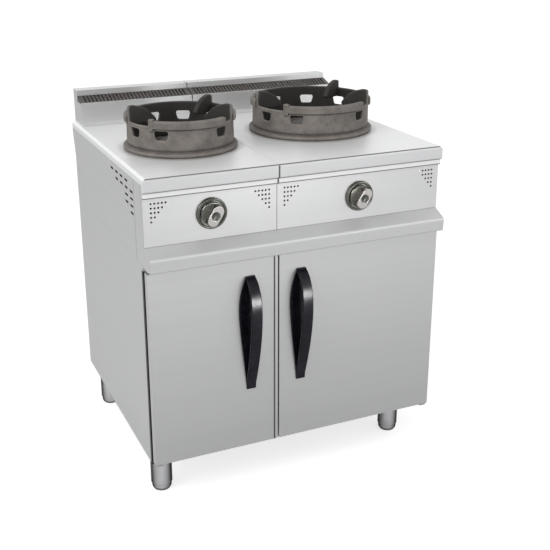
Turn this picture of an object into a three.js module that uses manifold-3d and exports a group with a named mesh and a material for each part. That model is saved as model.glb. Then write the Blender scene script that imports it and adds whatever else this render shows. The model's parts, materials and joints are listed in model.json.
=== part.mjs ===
// Two-burner gas wok range. A stainless cabinet with two doors carries a burner box with a
// sloped apron, two gas valves with knobs, two cast-iron wok rings over burners and drip
// bowls, and a slotted flue riser along the back. The left module is the narrower one.
// Millimetres, +Z up. While it is laid out, x = 0 is the middle of the width, y = 0 the
// doors' front face (+y to the back) and z = 0 the floor; the group at the end centres it.

import * as THREE from 'three';
import { mergeVertices } from 'three/addons/utils/BufferGeometryUtils.js';
import Module from 'manifold-3d';

const wasm = await Module();
wasm.setup();

// facets of a full turn
const ringFacets = 32;
const roundFacets = 24;
const pipeFacets = 14;
const smallFacets = 10;
const holeFacets = 6;

// ---------- driving dimensions ----------

const gap = 0.3; // left between pieces that touch
const sheet = 1.5; // stainless sheet of the casing

const width = 800;
const leftModuleWidth = 338;
const bodyDepth = 670; // front edge of the cabinet to the back of the burner box
const legHeight = 102;
const cabinetHeight = 539;

// fascia panel, sloped apron and lip
const fasciaHeight = 119;
const fasciaForward = 19; // in front of the cabinet's front edge
const apronRise = 19; // top of the lip to the fascia
const lipHeight = 34;
const lipReach = 41; // in front of the fascia
const lipLean = 2;
const lipLap = 3; // over the top of the cabinet
const lipReturn = 12;

// worktop pressing
const noseOverhang = 16; // in front of the fascia
const noseStep = 8;
const noseStepHeight = 17;
const noseBandHeight = 33;
const skirtDepth = 18; // turned-down rim of the worktop
const rimChamfer = 6;
const moduleSeam = 1; // open joint between the two worktops
const perforation = { radius: 2.8, pitchX: 9, pitchZ: 11, rows: 5, edgeX: 20, edgeZ: 14 };

// burner box: its back flares out under the worktop
const flareReach = 18;
const flareHeight = 63;
const flareTopDrop = 35;
const deckFlange = 10;
const sideFlange = 14;
const sideFlangeEnd = 12; // the flange stops short of the back
const vent = { length: 25, height: 6, pitchY: 42.5, pitchZ: 17.8, edgeY: 70, edgeZ: 37 };

// flue riser
const flueInset = 10; // from the side of the range
const flueDepth = 88;
const flueSeam = 3;
const splashHeight = 64;
const slopeDepth = 46;
const slopeRise = 15;
const capBandHeight = 14;
const coveDepth = 9;
const slotPitch = 10.5;
const slotWidth = 5.5;
const slotMargin = 9;
const slotEnd = 5; // land at each end of a slot
const flueOpening = { depth: 52, fromRear: 16, fromEnd: 20 };

// wok rings: centre from the middle of its module and from the nose, radius of the base
const ringSeats = {
  left: { aside: 18, fromNose: 283, radius: 147 },
  right: { aside: 15, fromNose: 337, radius: 170 },
};
const ringHeight = 90;
const ringWall = 8;
const ringFootWidth = 18;
const ringFootHeight = 11;
const ringWaist = 10; // how far the wall stands in from the base
const ringBand = 6; // how far the top band stands out from the wall
const rimGaps = [[178, 219], [304, 325]]; // in degrees: no band there, and a lower wall
const rimGapDepth = 15;
const finAngles = [35, 178, 325];
const finThick = 13;
const finReach = 74;
const finRise = 23;
const windowAngles = [32, 68, 104, 160, 196, 231, 300, 336];
const windowTop = 40;
const windowBottom = 29;
const windowZ = [42, 65];

// drip bowls and burners
const bowlFlange = 8;
const bowlDepth = 40;
const bowlDraft = 14;
const bowlCollar = 12;
const bowlFit = 2; // between the bowl and the worktop's hole
const neckRadius = 42;
const neckClearance = 5;
const neckRise = 7; // above the worktop
const throatRadius = 34;
const throatFloor = 8;
const columnHeight = 69;
const columnRadius = 16;
const columnLap = 4; // sunk into the foot and the neck
const capOverhang = 12; // cap beyond the neck
const capHeight = 17;
const capSpigot = 12;
const capPorts = 12;
const venturiRadius = 20;
const venturiBore = 15;
const venturiRise = 24; // axis above the bottom of the neck
const venturiMouth = 50; // behind the manifold's axis
const burnerFoot = 64;
const burnerFootHeight = 7;

// pilots, each with a flame probe on the same clip
const pilotRadius = 4;
const pilotHood = 11;
const pilotAway = 10; // axis beyond the burner's cap
const pilotAngle = 250;
const pilotRise = 11; // above the neck
const pilotTail = 24; // tube below the clip
const clipDrop = 30; // clip below the drip bowl
const clipThick = 4;
const probeRadius = 2.2;
const probeOffset = 9;
const probeTail = 28;

// gas train
const manifoldInset = 32; // axis behind the cabinet's front edge
const manifoldRise = 69;
const manifoldRadius = 11;
const manifoldBore = 8;
const manifoldEnd = 38; // beyond the left valve
const inletInset = 48; // from the side of the range
const inletRadius = 13;
const inletLength = 39;
const valveWidth = 30;
const valveDepth = 34;
const valveTop = 86; // above the apron
const valveNeckRadius = 9;
const plugRadius = 7;
const plugLength = 23;
const plugWall = 1; // of the valve's body behind the plug
const gasWayRadius = 2.5;
const feedRadius = 5;
const feedDrop = 6; // below the knob's axis
const orifice = { radius: 8, length: 20 };

// knobs: centre from the middle of the module and above the apron
const knobSeats = { left: [-1, 65], right: [-3, 60] };
const bezelWidth = 8;
const bezelDepth = 7;
const bezelClearance = 2;
const skirtRadius = 29;
const skirtThick = 5;
const knobTravel = 4;
const gripWidth = 22;
const gripLength = 52;
const gripHeight = 24;
const gripTilt = 32; // degrees, top of the grip to the right
const dimpleRadius = 7.5;
const dimpleDepth = 4;
const stemRadius = 5;
const stemEngagement = 8; // in the grip
const tailRadius = 3;

// cabinet
const cabinetBackInset = 20; // from the back of the burner box
const cabinetFlange = 20;
const floorRise = 8;
const postWidth = 32;
const doorCatchSize = { width: 60, height: 20, drop: 40 };
const magnet = { aside: 18, width: 16, height: 2, proud: 0.6 };

// doors and handles
const doorDepth = 20;
const doorClearance = 10; // between a door and the cabinet
const doorRise = 12; // bottom of a door above the bottom of the cabinet
const doorDrop = 13; // top of a door below the top of the cabinet
const doorGap = 4;
const linerRim = 12;
const pinInset = 12; // hinge pin from the door's outer edge
const pinRadius = 4;
const pinLength = 23;
const bracketThick = 3;
const bracketWidth = 18;
const bracketLeg = 27;
const handleFromSeam = { left: -77, right: 62 };
const handleDrop = 42; // top of the handle below the top of the door
const handleLength = 308;
const handlePeak = 76; // the bow's highest point below the top of the handle
const handleWidth = 28;
const handleBow = 48;
const handleThick = 7;
const leafHalf = 31;
const leafThick = 3;
const leafWidest = 91; // below the top of the handle

// legs: [from the side, from the cabinet's front or back]
const legInsets = {
  front_left: [36, 46],
  front_right: [68, 68],
  rear_left: [36, 90],
  rear_right: [68, 60],
};
const sleeveRadius = 28;
const sleeveWall = 1.5;
const sleeveDrop = 82; // below the cabinet
const footClearance = 0.5;
const footTaper = 7;
const footEngagement = 44; // in the sleeve
const studRadius = 8;

// ---------- values worked out from them ----------

const halfWidth = width / 2;
const seamX = -halfWidth + leftModuleWidth;
const spans = {
  left: [-halfWidth, seamX - moduleSeam / 2],
  right: [seamX + moduleSeam / 2, halfWidth],
};
const flueSpans = {
  left: [-halfWidth + flueInset, seamX - flueSeam / 2],
  right: [seamX + flueSeam / 2, halfWidth - flueInset],
};
const doorSpans = {
  left: [-halfWidth, seamX - doorGap / 2],
  right: [seamX + doorGap / 2, halfWidth],
};
const moduleMiddle = { left: (seamX - halfWidth) / 2, right: (seamX + halfWidth) / 2 };

// from the door's front face back
const frameY = doorDepth + doorClearance; // front edge of the cabinet and of the side panels
const fasciaY = frameY - fasciaForward;
const noseY = fasciaY - noseOverhang;
const noseStepY = noseY + noseStep;
const lipY = fasciaY - lipReach;
const lipUnderY = lipY + lipLean;
const rearY = frameY + bodyDepth;
const boxBackY = rearY - flareReach;
const cabinetBackY = rearY - cabinetBackInset;
const flueY = rearY - flueDepth;
const slopeTopY = flueY + slopeDepth;
const manifoldY = frameY + manifoldInset;
const valveY = [manifoldY - valveDepth / 2, manifoldY + valveDepth / 2];
const plugY = [valveY[1] - plugWall - plugLength, valveY[1] - plugWall];
const venturiMouthY = manifoldY + venturiMouth;
const pinY = doorDepth / 2;
const frontY = -handleBow;

// from the floor up
const cabinetBottomZ = legHeight;
const floorZ = cabinetBottomZ + floorRise;
const jointZ = cabinetBottomZ + cabinetHeight; // between burner box and cabinet
const doorBottomZ = cabinetBottomZ + doorRise;
const doorTopZ = jointZ - doorDrop;
const handleTopZ = doorTopZ - handleDrop;
const handleZ = [handleTopZ - handleLength, handleTopZ];
const handlePeakZ = handleTopZ - handlePeak;
const sleeveBottomZ = cabinetBottomZ - sleeveDrop;
const footBodyTopZ = sleeveBottomZ + footEngagement;
const lipBottomZ = jointZ - lipLap;
const lipTopZ = lipBottomZ + lipHeight;
const apronTopZ = lipTopZ + apronRise;
const noseBottomZ = apronTopZ + fasciaHeight;
const noseBandZ = noseBottomZ + noseStepHeight;
const worktopZ = noseBandZ + noseBandHeight;
const skirtZ = worktopZ - skirtDepth;
const boxTopZ = skirtZ - gap; // top of what carries the worktop
const onWorktopZ = worktopZ + gap;
const flareTopZ = worktopZ - flareTopDrop;
const flareBottomZ = flareTopZ - flareHeight;
const splashTopZ = worktopZ + splashHeight;
const slopeTopZ = splashTopZ + slopeRise;
const flueTopZ = slopeTopZ + capBandHeight;
const manifoldZ = jointZ + manifoldRise;
const neckTopZ = worktopZ + neckRise;
const neckBottomZ = jointZ + columnHeight;
const venturiZ = neckBottomZ + venturiRise;
const pilotTopZ = neckTopZ + pilotRise;
const bowlBottomZ = worktopZ - bowlDepth;

const capRadius = neckRadius + capOverhang;
const pilotOffset = capRadius + pilotAway;
const bezelInner = skirtRadius + bezelClearance;
const bezelRadius = bezelInner + bezelWidth;
const footRadius = sleeveRadius - sleeveWall - footClearance;
const manifoldLeftX = moduleMiddle.left + knobSeats.left[0] - manifoldEnd;
const inletX = halfWidth - inletInset;
const knobBack = knobTravel + 1; // behind the knob's skirt, with room to be pushed
const stemFrontY = fasciaY - bezelDepth - gripHeight + stemEngagement;

// a ring's centre and radius, a knob's (x, z)
const ringPlace = (side) => {
  const { aside, fromNose, radius } = ringSeats[side];
  return [moduleMiddle[side] + aside, noseY + fromNose, radius];
};
const knobPlace = (side) => [
  moduleMiddle[side] + knobSeats[side][0],
  apronTopZ + knobSeats[side][1],
];

// ---------- solids ----------

function solidOf(geometry) {
  geometry.deleteAttribute('normal');
  geometry.deleteAttribute('uv');
  const merged = mergeVertices(geometry, 1e-4);
  const corners = merged.index.array;
  const triVerts = [];
  for (let i = 0; i < corners.length; i += 3) {
    const [a, b, c] = corners.slice(i, i + 3);
    if (a !== b && b !== c && c !== a) triVerts.push(a, b, c);
  }
  return new wasm.Manifold(
    new wasm.Mesh({
      numProp: 3,
      vertProperties: merged.attributes.position.array,
      triVerts: Uint32Array.from(triVerts),
    }),
  );
}

const join = (first, ...others) => others.reduce((whole, other) => whole.add(other), first);
const cut = (first, ...others) => others.reduce((rest, other) => rest.subtract(other), first);

function box([x0, x1], [y0, y1], [z0, z1]) {
  const geometry = new THREE.BoxGeometry(x1 - x0, y1 - y0, z1 - z0);
  return solidOf(geometry.translate((x0 + x1) / 2, (y0 + y1) / 2, (z0 + z1) / 2));
}

function shapeOf(outline) {
  if (outline instanceof THREE.Shape) return outline;
  return new THREE.Shape(outline.map(([u, v]) => new THREE.Vector2(u, v)));
}

function extrude(outline, depth, basis) {
  const geometry = new THREE.ExtrudeGeometry(shapeOf(outline), {
    depth,
    bevelEnabled: false,
    curveSegments: 7,
  });
  return geometry.applyMatrix4(new THREE.Matrix4().makeBasis(...basis));
}

const unit = {
  x: new THREE.Vector3(1, 0, 0),
  y: new THREE.Vector3(0, 1, 0),
  z: new THREE.Vector3(0, 0, 1),
  minusY: new THREE.Vector3(0, -1, 0),
};

// A (y, z) outline carried along x.
function alongX(outline, [x0, x1]) {
  return solidOf(extrude(outline, x1 - x0, [unit.y, unit.z, unit.x]).translate(x0, 0, 0));
}

// An (x, z) outline carried along y.
function alongY(outline, [y0, y1]) {
  return solidOf(extrude(outline, y1 - y0, [unit.x, unit.z, unit.minusY]).translate(0, y1, 0));
}

function rodGeometry(radius, [from, to], segments) {
  const geometry = new THREE.CylinderGeometry(radius, radius, to - from, segments);
  return geometry.translate(0, (from + to) / 2, 0);
}

function rodX(radius, span, [y, z], segments = pipeFacets) {
  return solidOf(rodGeometry(radius, span, segments).rotateZ(-Math.PI / 2).translate(0, y, z));
}

function rodY(radius, span, [x, z], segments = pipeFacets) {
  return solidOf(rodGeometry(radius, span, segments).translate(x, 0, z));
}

function rodZ(radius, span, [x, y], segments = pipeFacets) {
  return solidOf(rodGeometry(radius, span, segments).rotateX(Math.PI / 2).translate(x, y, 0));
}

// A closed (r, z) outline turned about a vertical axis; anticlockwise outlines face out.
function turned(outline, [x, y], segments) {
  const area = outline.reduce((sum, [r, z], i) => {
    const [nextR, nextZ] = outline[(i + 1) % outline.length];
    return sum + r * nextZ - nextR * z;
  }, 0);
  const loop = area > 0 ? [...outline] : [...outline].reverse();
  const points = [...loop, loop[0]].map(([r, z]) => new THREE.Vector2(r, z));
  const geometry = new THREE.LatheGeometry(points, segments);
  return solidOf(geometry.rotateX(Math.PI / 2).translate(x, y, 0));
}

// The same about an axis along y: the outline is (r, depth in front of the panel).
function turnedForward(outline, [x, z], panelY, segments) {
  const points = [...outline, outline[0]].map(([r, depth]) => new THREE.Vector2(r, -depth));
  const ordered = THREE.ShapeUtils.area(points) > 0 ? points : points.reverse();
  const geometry = new THREE.LatheGeometry(ordered, segments);
  return solidOf(geometry.translate(x, panelY, z));
}

// A flat pattern of points, each shifted sideways by the sheet's thickness, as one outline.
function folded(path, thickness) {
  const vectors = path.map(([u, v]) => new THREE.Vector2(u, v));
  const inner = vectors.map((point, i) => {
    const before = vectors[Math.max(i - 1, 0)];
    const after = vectors[Math.min(i + 1, vectors.length - 1)];
    const into = (i ? point.clone().sub(before) : after.clone().sub(point)).normalize();
    const out = (i < path.length - 1 ? after.clone().sub(point) : into.clone()).normalize();
    const normal = new THREE.Vector2(-into.y - out.y, into.x + out.x).normalize();
    const stretch = thickness / normal.dot(new THREE.Vector2(-into.y, into.x));
    return point.clone().addScaledVector(normal, stretch);
  });
  return [...vectors, ...inner.reverse()].map(({ x, y }) => [x, y]);
}

function around([x, y], radius, degrees) {
  const angle = THREE.MathUtils.degToRad(degrees);
  return [x + radius * Math.cos(angle), y + radius * Math.sin(angle)];
}

// ---------- the assembly ----------

const range = new THREE.Group();
range.position.y = -(frontY + rearY) / 2;

const finishes = {
  steel: { color: 0xc9cacb, roughness: 0.32, metalness: 1 },
  inner: { color: 0xa9abad, roughness: 0.5, metalness: 1 },
  iron: { color: 0x5a5450, roughness: 0.75, metalness: 0.3 },
  black: { color: 0x111114, roughness: 0.22, metalness: 0 },
  chrome: { color: 0xd8dadc, roughness: 0.12, metalness: 1 },
  gunmetal: { color: 0x4d504e, roughness: 0.3, metalness: 0.9 },
  brass: { color: 0xb48a45, roughness: 0.35, metalness: 1 },
};

function place(name, solid, finish) {
  const { vertProperties, triVerts } = solid.getMesh();
  const geometry = new THREE.BufferGeometry();
  geometry.setAttribute('position', new THREE.BufferAttribute(vertProperties, 3));
  geometry.setIndex(new THREE.BufferAttribute(triVerts, 1));
  geometry.computeVertexNormals();
  const mesh = new THREE.Mesh(
    geometry,
    new THREE.MeshStandardMaterial({ ...finishes[finish], flatShading: true }),
  );
  mesh.name = name;
  range.add(mesh);
}

// ---------- worktops ----------

function worktopBlock(side, inset) {
  const [x0, x1] = spans[side];
  const top = worktopZ - inset;
  const bevel = rimChamfer + inset * 0.4;
  const bottom = noseBottomZ - inset;
  const band = noseBandZ + inset;
  const section = [
    [rearY - inset, skirtZ - inset],
    [rearY - inset, top],
    [noseY + inset, top],
    [noseY + inset, band],
    [noseStepY + inset, band - 2 * sheet],
    [noseStepY + inset, bottom],
    [fasciaY - gap, bottom],
    [fasciaY - gap, skirtZ - inset],
  ];
  const left = x0 + inset;
  const right = x1 - inset;
  const ends = [
    [left, bottom - sheet],
    [right, bottom - sheet],
    ...(side === 'right' ? [[right, top - bevel], [right - bevel, top]] : [[right, top]]),
    ...(side === 'left' ? [[left + bevel, top], [left, top - bevel]] : [[left, top]]),
  ];
  return alongX(section, [x0, x1]).intersect(alongY(ends, [noseY - sheet, rearY + sheet]));
}

const holeRadius = (side) => ringPlace(side)[2] - ringFootWidth - bowlFlange - bowlFit;

function worktop(side) {
  const [ringX, ringY] = ringPlace(side);
  const [flueLeft, flueRight] = flueSpans[side];
  const hole = [worktopZ - 2 * sheet, worktopZ + sheet];
  const { depth, fromRear, fromEnd } = flueOpening;
  const burnerHole = rodZ(holeRadius(side), hole, [ringX, ringY], ringFacets);
  const flueHole = box(
    [flueLeft + fromEnd, flueRight - fromEnd],
    [rearY - fromRear - depth, rearY - fromRear],
    hole,
  );
  return cut(worktopBlock(side, 0), worktopBlock(side, sheet), burnerHole, flueHole);
}

// ---------- fascia panels with their air holes ----------

const throughFascia = [fasciaY - sheet, fasciaY + 2 * sheet];

function perforations(side) {
  const [x0, x1] = spans[side];
  const { radius, pitchX, pitchZ, rows, edgeX, edgeZ } = perforation;
  const holes = [];
  for (let row = 0; row < rows; row += 1) {
    for (let column = 0; column < rows - row; column += 1) {
      const across = edgeX + column * pitchX;
      const z = noseBottomZ - edgeZ - row * pitchZ;
      for (const x of [x0 + across, x1 - across]) {
        holes.push(rodY(radius, throughFascia, [x, z], holeFacets));
      }
    }
  }
  return holes;
}

function fascia(side) {
  const [x0, x1] = spans[side];
  const bottom = apronTopZ + gap;
  const outer = box([x0, x1], [fasciaY, frameY - gap], [bottom, boxTopZ]);
  const inner = box(
    [x0 + sheet, x1 - sheet],
    [fasciaY + sheet, frameY],
    [bottom + sheet, boxTopZ - sheet],
  );
  const stemHole = rodY(stemRadius + 2 * sheet, throughFascia, knobPlace(side));
  return cut(outer, inner, stemHole, ...perforations(side));
}

// ---------- sloped apron with its lip ----------

function apron() {
  const back = frameY - gap;
  const outline = [
    [back, lipBottomZ],
    [back, apronTopZ],
    [fasciaY, apronTopZ],
    [lipY, lipTopZ],
    [lipUnderY, lipBottomZ],
  ];
  const hollow = [
    [frameY + sheet, lipBottomZ - sheet],
    [frameY + sheet, apronTopZ - sheet],
    [fasciaY + sheet * 0.2, apronTopZ - sheet],
    [lipY + sheet, lipTopZ - sheet * 0.7],
    [lipUnderY + sheet, lipBottomZ + sheet],
    [lipUnderY + lipReturn, lipBottomZ + sheet],
    [lipUnderY + lipReturn, lipBottomZ - sheet],
  ];
  return cut(
    alongX(outline, [-halfWidth, halfWidth]),
    alongX(hollow, [-halfWidth + sheet, halfWidth - sheet]),
  );
}

// ---------- burner box ----------

const boxBackPath = [
  [boxBackY, jointZ],
  [boxBackY, flareBottomZ],
  [rearY, flareTopZ],
  [rearY, boxTopZ],
];

// Air slots of a side panel: [rows down, steps back] fill an L below the worktop.
const ventPlaces = [
  [0, 1], [0, 2], [0, 3], [0, 4],
  [1, 0], [1, 1], [1, 2], [1, 3],
  [2, 0], [2, 1],
  [3, 0], [3, 1],
  [4, 0],
];

// A plate with a top flange that the worktop rests on.
function upperSide(side) {
  const outward = side === 'left' ? -1 : 1;
  const span = (outer, inner) => [outward * outer, outward * inner].sort((a, b) => a - b);
  const plateX = span(halfWidth, halfWidth - sheet);
  const plate = alongX([[frameY, jointZ], ...boxBackPath, [frameY, boxTopZ]], plateX);
  const flange = box(
    span(halfWidth - sheet, halfWidth - sideFlange),
    [frameY, rearY - sideFlangeEnd],
    [boxTopZ - sheet, boxTopZ],
  );
  const slots = ventPlaces.map(([row, step]) => {
    const y = frameY + vent.edgeY + step * vent.pitchY;
    const z = worktopZ - vent.edgeZ - row * vent.pitchZ;
    return box(
      span(halfWidth + sheet, halfWidth - 2 * sheet),
      [y - vent.length / 2, y + vent.length / 2],
      [z - vent.height / 2, z + vent.height / 2],
    );
  });
  return cut(join(plate, flange), ...slots);
}

function upperBack() {
  const path = boxBackPath.map(([y, z]) => [y - gap, z]);
  path[0][1] += gap;
  path[path.length - 1][1] -= gap;
  const x = halfWidth - sheet - gap;
  const notches = [[-x - sheet, -x + sideFlange + sheet], [x - sideFlange - sheet, x + sheet]];
  return cut(
    alongX(folded(path, sheet), [-x, x]),
    rodY(inletRadius + sheet, [boxBackY - 3 * sheet, rearY + sheet], [inletX, manifoldZ]),
    ...notches.map((span) => box(span, [boxBackY, rearY + sheet], [boxTopZ - 2 * sheet, worktopZ])),
  );
}

const deckY = [frameY + gap, boxBackY - sheet - 2 * gap];

function bulkhead() {
  const plate = box(
    [seamX - sheet / 2, seamX + sheet / 2],
    deckY,
    [jointZ + sheet + gap, boxTopZ - gap],
  );
  const through = [seamX - sheet, seamX + sheet];
  const deckRim = box(through, [frameY, frameY + sheet + 2 * gap], [jointZ, jointZ + deckFlange + gap]);
  const manifoldHole = rodX(manifoldRadius + sheet, through, [manifoldY, manifoldZ]);
  return cut(plate, deckRim, manifoldHole);
}

// A tray, open at the back.
function burnerDeck() {
  const x = halfWidth - sheet - gap;
  const [front, back] = deckY;
  return cut(
    box([-x, x], deckY, [jointZ, jointZ + deckFlange]),
    box([-x + sheet, x - sheet], [front + sheet, back + sheet], [jointZ + sheet, worktopZ]),
  );
}

// ---------- flue riser ----------

function flueBlock([x0, x1], inset) {
  const below = inset ? sheet : 0; // the block that hollows the riser runs out at its foot
  const bottom = onWorktopZ - below;
  return alongX(
    [
      [rearY - inset, bottom],
      [rearY - inset, flueTopZ - inset],
      [slopeTopY + inset, flueTopZ - inset],
      [slopeTopY + inset, slopeTopZ - inset * 0.7],
      [flueY + inset, splashTopZ - inset * 0.7],
      [flueY + inset, onWorktopZ + coveDepth],
      [flueY - coveDepth + inset * 1.6, onWorktopZ + (inset ? -sheet : sheet * 0.4)],
      [flueY - coveDepth + inset * 1.6, bottom],
    ],
    [x0 + inset, x1 - inset],
  );
}

function flue(side) {
  const [x0, x1] = flueSpans[side];
  const count = Math.floor((x1 - x0 - 2 * slotMargin) / slotPitch);
  const first = (x0 + x1) / 2 - ((count - 1) * slotPitch) / 2;
  const slots = Array.from({ length: count }, (_, i) => {
    const x = first + i * slotPitch;
    return box(
      [x - slotWidth / 2, x + slotWidth / 2],
      [flueY + slotEnd, slopeTopY - slotEnd + sheet],
      [splashTopZ - slotEnd, slopeTopZ + sheet],
    );
  });
  return cut(flueBlock([x0, x1], 0), flueBlock([x0, x1], sheet), ...slots);
}

// ---------- wok rings ----------

function ringBody(side) {
  const [x, y, base] = ringPlace(side);
  const foot = onWorktopZ + ringFootHeight;
  const waistZ = foot + 14;
  const bandZ = onWorktopZ + windowZ[1];
  const rim = onWorktopZ + ringHeight;
  const waist = base - ringWaist;
  return turned(
    [
      [base, onWorktopZ],
      [base, foot],
      [base - 5, foot + 3],
      [waist, waistZ],
      [waist, bandZ],
      [waist + ringBand, bandZ + 4],
      [waist + ringBand, rim - 3],
      [waist + ringBand - 3, rim],
      [waist - ringWall, rim],
      [waist - ringWall, waistZ - 4],
      [base - ringFootWidth, foot - 1],
      [base - ringFootWidth, onWorktopZ],
    ],
    [x, y],
    ringFacets,
  );
}

// A tapered opening through the wall, wider at its top.
function ringWindow(side, degrees) {
  const [x, y, base] = ringPlace(side);
  const [low, high] = windowZ.map((z) => onWorktopZ + z);
  const hole = extrude(
    [
      [-windowBottom / 2, low],
      [windowBottom / 2, low],
      [windowTop / 2, high],
      [-windowTop / 2, high],
    ],
    3 * (ringWall + ringWaist),
    [unit.y, unit.z, unit.x],
  );
  hole.translate(base - 2 * (ringWall + ringWaist), 0, 0);
  hole.rotateZ(THREE.MathUtils.degToRad(degrees));
  return solidOf(hole.translate(x, y, 0));
}

// A radial fin that rises over the rim and slopes down inwards to seat the wok.
function ringFin(side, degrees) {
  const [x, y, base] = ringPlace(side);
  const rim = onWorktopZ + ringHeight;
  const outer = base - ringWaist;
  const fin = extrude(
    [
      [outer, rim - 18],
      [outer, rim + finRise - 5],
      [outer - 4, rim + finRise - 1],
      [outer - 16, rim + finRise],
      [outer - 34, rim + finRise - 4],
      [outer - 52, rim + finRise - 13],
      [outer - finReach + 6, rim - 6],
      [outer - finReach, rim - 14],
      [outer - finReach + 3, rim - 22],
      [outer - 12, rim - 24],
    ],
    finThick,
    [unit.x, unit.z, unit.minusY],
  );
  fin.translate(0, finThick / 2, 0).rotateZ(THREE.MathUtils.degToRad(degrees));
  return solidOf(fin.translate(x, y, 0));
}

// A stretch of the rim next to a fin, where the band is left out and the wall is lower.
function rimGap(side, [from, to]) {
  const [x, y, base] = ringPlace(side);
  const bandZ = onWorktopZ + windowZ[1];
  const rim = onWorktopZ + ringHeight;
  const reach = [0, 0.5, 1].map((share) =>
    around([0, 0], base + 3 * ringBand, from + share * (to - from)),
  );
  const wedge = new THREE.ExtrudeGeometry(shapeOf([[0, 0], ...reach]), {
    depth: rim + sheet - bandZ,
    bevelEnabled: false,
  });
  const wall = rodZ(base - ringWaist, [onWorktopZ, rim - rimGapDepth], [x, y], ringFacets);
  return cut(solidOf(wedge.translate(x, y, bandZ)), wall);
}

function wokRing(side) {
  const windows = windowAngles.map((angle) => ringWindow(side, angle));
  const gaps = rimGaps.map((span) => rimGap(side, span));
  const body = cut(ringBody(side), ...windows, ...gaps);
  return join(body, ...finAngles.map((angle) => ringFin(side, angle)));
}

// ---------- drip bowls, burners, caps and pilots ----------

function dripBowl(side) {
  const [x, y] = ringPlace(side);
  const mouth = holeRadius(side) - bowlFit;
  const rim = holeRadius(side) + bowlFlange;
  const bottom = bowlBottomZ;
  const inner = neckRadius + neckClearance;
  const bowl = turned(
    [
      [rim, onWorktopZ],
      [rim, onWorktopZ + sheet],
      [mouth - sheet, onWorktopZ + sheet],
      [mouth - bowlDraft, bottom + sheet],
      [inner + sheet, bottom + sheet],
      [inner + sheet, bottom + bowlCollar],
      [inner, bottom + bowlCollar],
      [inner, bottom],
      [mouth - bowlDraft + sheet * 0.6, bottom],
      [mouth, onWorktopZ],
    ],
    [x, y],
    ringFacets,
  );
  const [pilotX, pilotY] = around([x, y], pilotOffset, pilotAngle);
  const pilotRoom = pilotRadius + 2 * sheet;
  const pilotHole = box(
    [pilotX - pilotRoom, pilotX + probeOffset + pilotRoom],
    [pilotY - pilotRoom, pilotY + pilotRoom],
    [bottom - sheet, bottom + 2 * sheet],
  );
  return cut(bowl, pilotHole);
}

function burner(side) {
  const [x, y] = ringPlace(side);
  const half = burnerFoot / 2;
  const footZ = jointZ + sheet + gap;
  const footTopZ = footZ + burnerFootHeight;
  return cut(
    join(
      rodZ(neckRadius, [neckBottomZ, neckTopZ], [x, y], roundFacets),
      rodY(venturiRadius, [venturiMouthY, y], [x, venturiZ]),
      box([x - half, x + half], [y - half, y + half], [footZ, footTopZ]),
      rodZ(columnRadius, [footTopZ - columnLap, neckBottomZ + columnLap], [x, y]),
    ),
    rodZ(throatRadius, [neckBottomZ + throatFloor, neckTopZ + sheet], [x, y], roundFacets),
    rodY(venturiBore, [venturiMouthY - sheet, y], [x, venturiZ]),
  );
}

function burnerCap(side) {
  const [x, y] = ringPlace(side);
  const seat = neckTopZ + gap;
  const spigot = throatRadius - 1;
  const cap = turned(
    [
      [0, seat - capSpigot],
      [spigot, seat - capSpigot],
      [spigot, seat],
      [capRadius - 4, seat],
      [capRadius, seat + 4],
      [capRadius - 3, seat + 9],
      [capRadius / 2, seat + capHeight],
      [0, seat + capHeight + 1],
    ],
    [x, y],
    roundFacets,
  );
  const ports = Array.from({ length: capPorts }, (_, i) => {
    const port = new THREE.BoxGeometry(2 * capOverhang, 4, 3);
    port.translate(capRadius - 8, 0, seat + 0.5).rotateZ((i * 2 * Math.PI) / capPorts);
    return solidOf(port.translate(x, y, 0));
  });
  return cut(cap, ...ports);
}

function pilot(side) {
  const centre = ringPlace(side);
  const [x, y] = around(centre, pilotOffset, pilotAngle);
  const clipZ = [bowlBottomZ - clipDrop, bowlBottomZ - clipDrop + clipThick];
  const probeX = x + probeOffset;
  const hood = pilotHood / 2;
  const arm = 3;
  const clip = cut(
    join(
      box([x - hood, probeX + arm], [y - arm, y + arm], clipZ),
      box([x - arm, x + arm], [y - arm, centre[1]], clipZ),
    ),
    rodZ(neckRadius + gap, [clipZ[0] - sheet, clipZ[1] + sheet], centre, roundFacets),
  );
  return join(
    clip,
    rodZ(pilotRadius, [clipZ[0] - pilotTail, pilotTopZ], [x, y], smallFacets),
    box([x - hood, x + hood], [y - hood, y + hood], [pilotTopZ - 2 * hood, pilotTopZ]),
    rodZ(probeRadius, [clipZ[0] - probeTail, pilotTopZ - 2], [probeX, y], holeFacets),
  );
}

// ---------- gas train ----------

function gasManifold() {
  const elbow = new THREE.SphereGeometry(manifoldRadius, pipeFacets, 8);
  const inletY = rearY - 1 - inletLength;
  const plug = manifoldRadius / 2;
  return cut(
    join(
      rodX(manifoldRadius, [manifoldLeftX, inletX], [manifoldY, manifoldZ]),
      rodY(manifoldRadius, [manifoldY, inletY + manifoldRadius], [inletX, manifoldZ]),
      rodY(inletRadius, [inletY, rearY - 1], [inletX, manifoldZ]),
      solidOf(elbow.translate(inletX, manifoldY, manifoldZ)),
    ),
    rodY(manifoldBore, [manifoldY, rearY], [inletX, manifoldZ], smallFacets),
    rodX(manifoldBore, [manifoldLeftX + plug, inletX], [manifoldY, manifoldZ], smallFacets),
  );
}

function gasValve(side) {
  const [x, z] = knobPlace(side);
  const half = valveWidth / 2;
  return cut(
    join(
      box([x - half, x + half], valveY, [manifoldZ + manifoldRadius + gap, apronTopZ + valveTop]),
      rodY(valveNeckRadius, [fasciaY + sheet + gap, valveY[0] + sheet], [x, z]),
    ),
    rodY(stemRadius + gap, [fasciaY, plugY[0]], [x, z], smallFacets),
    rodY(plugRadius + gap, [plugY[0] - gap, valveY[1] + sheet], [x, z], roundFacets),
  );
}

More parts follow.
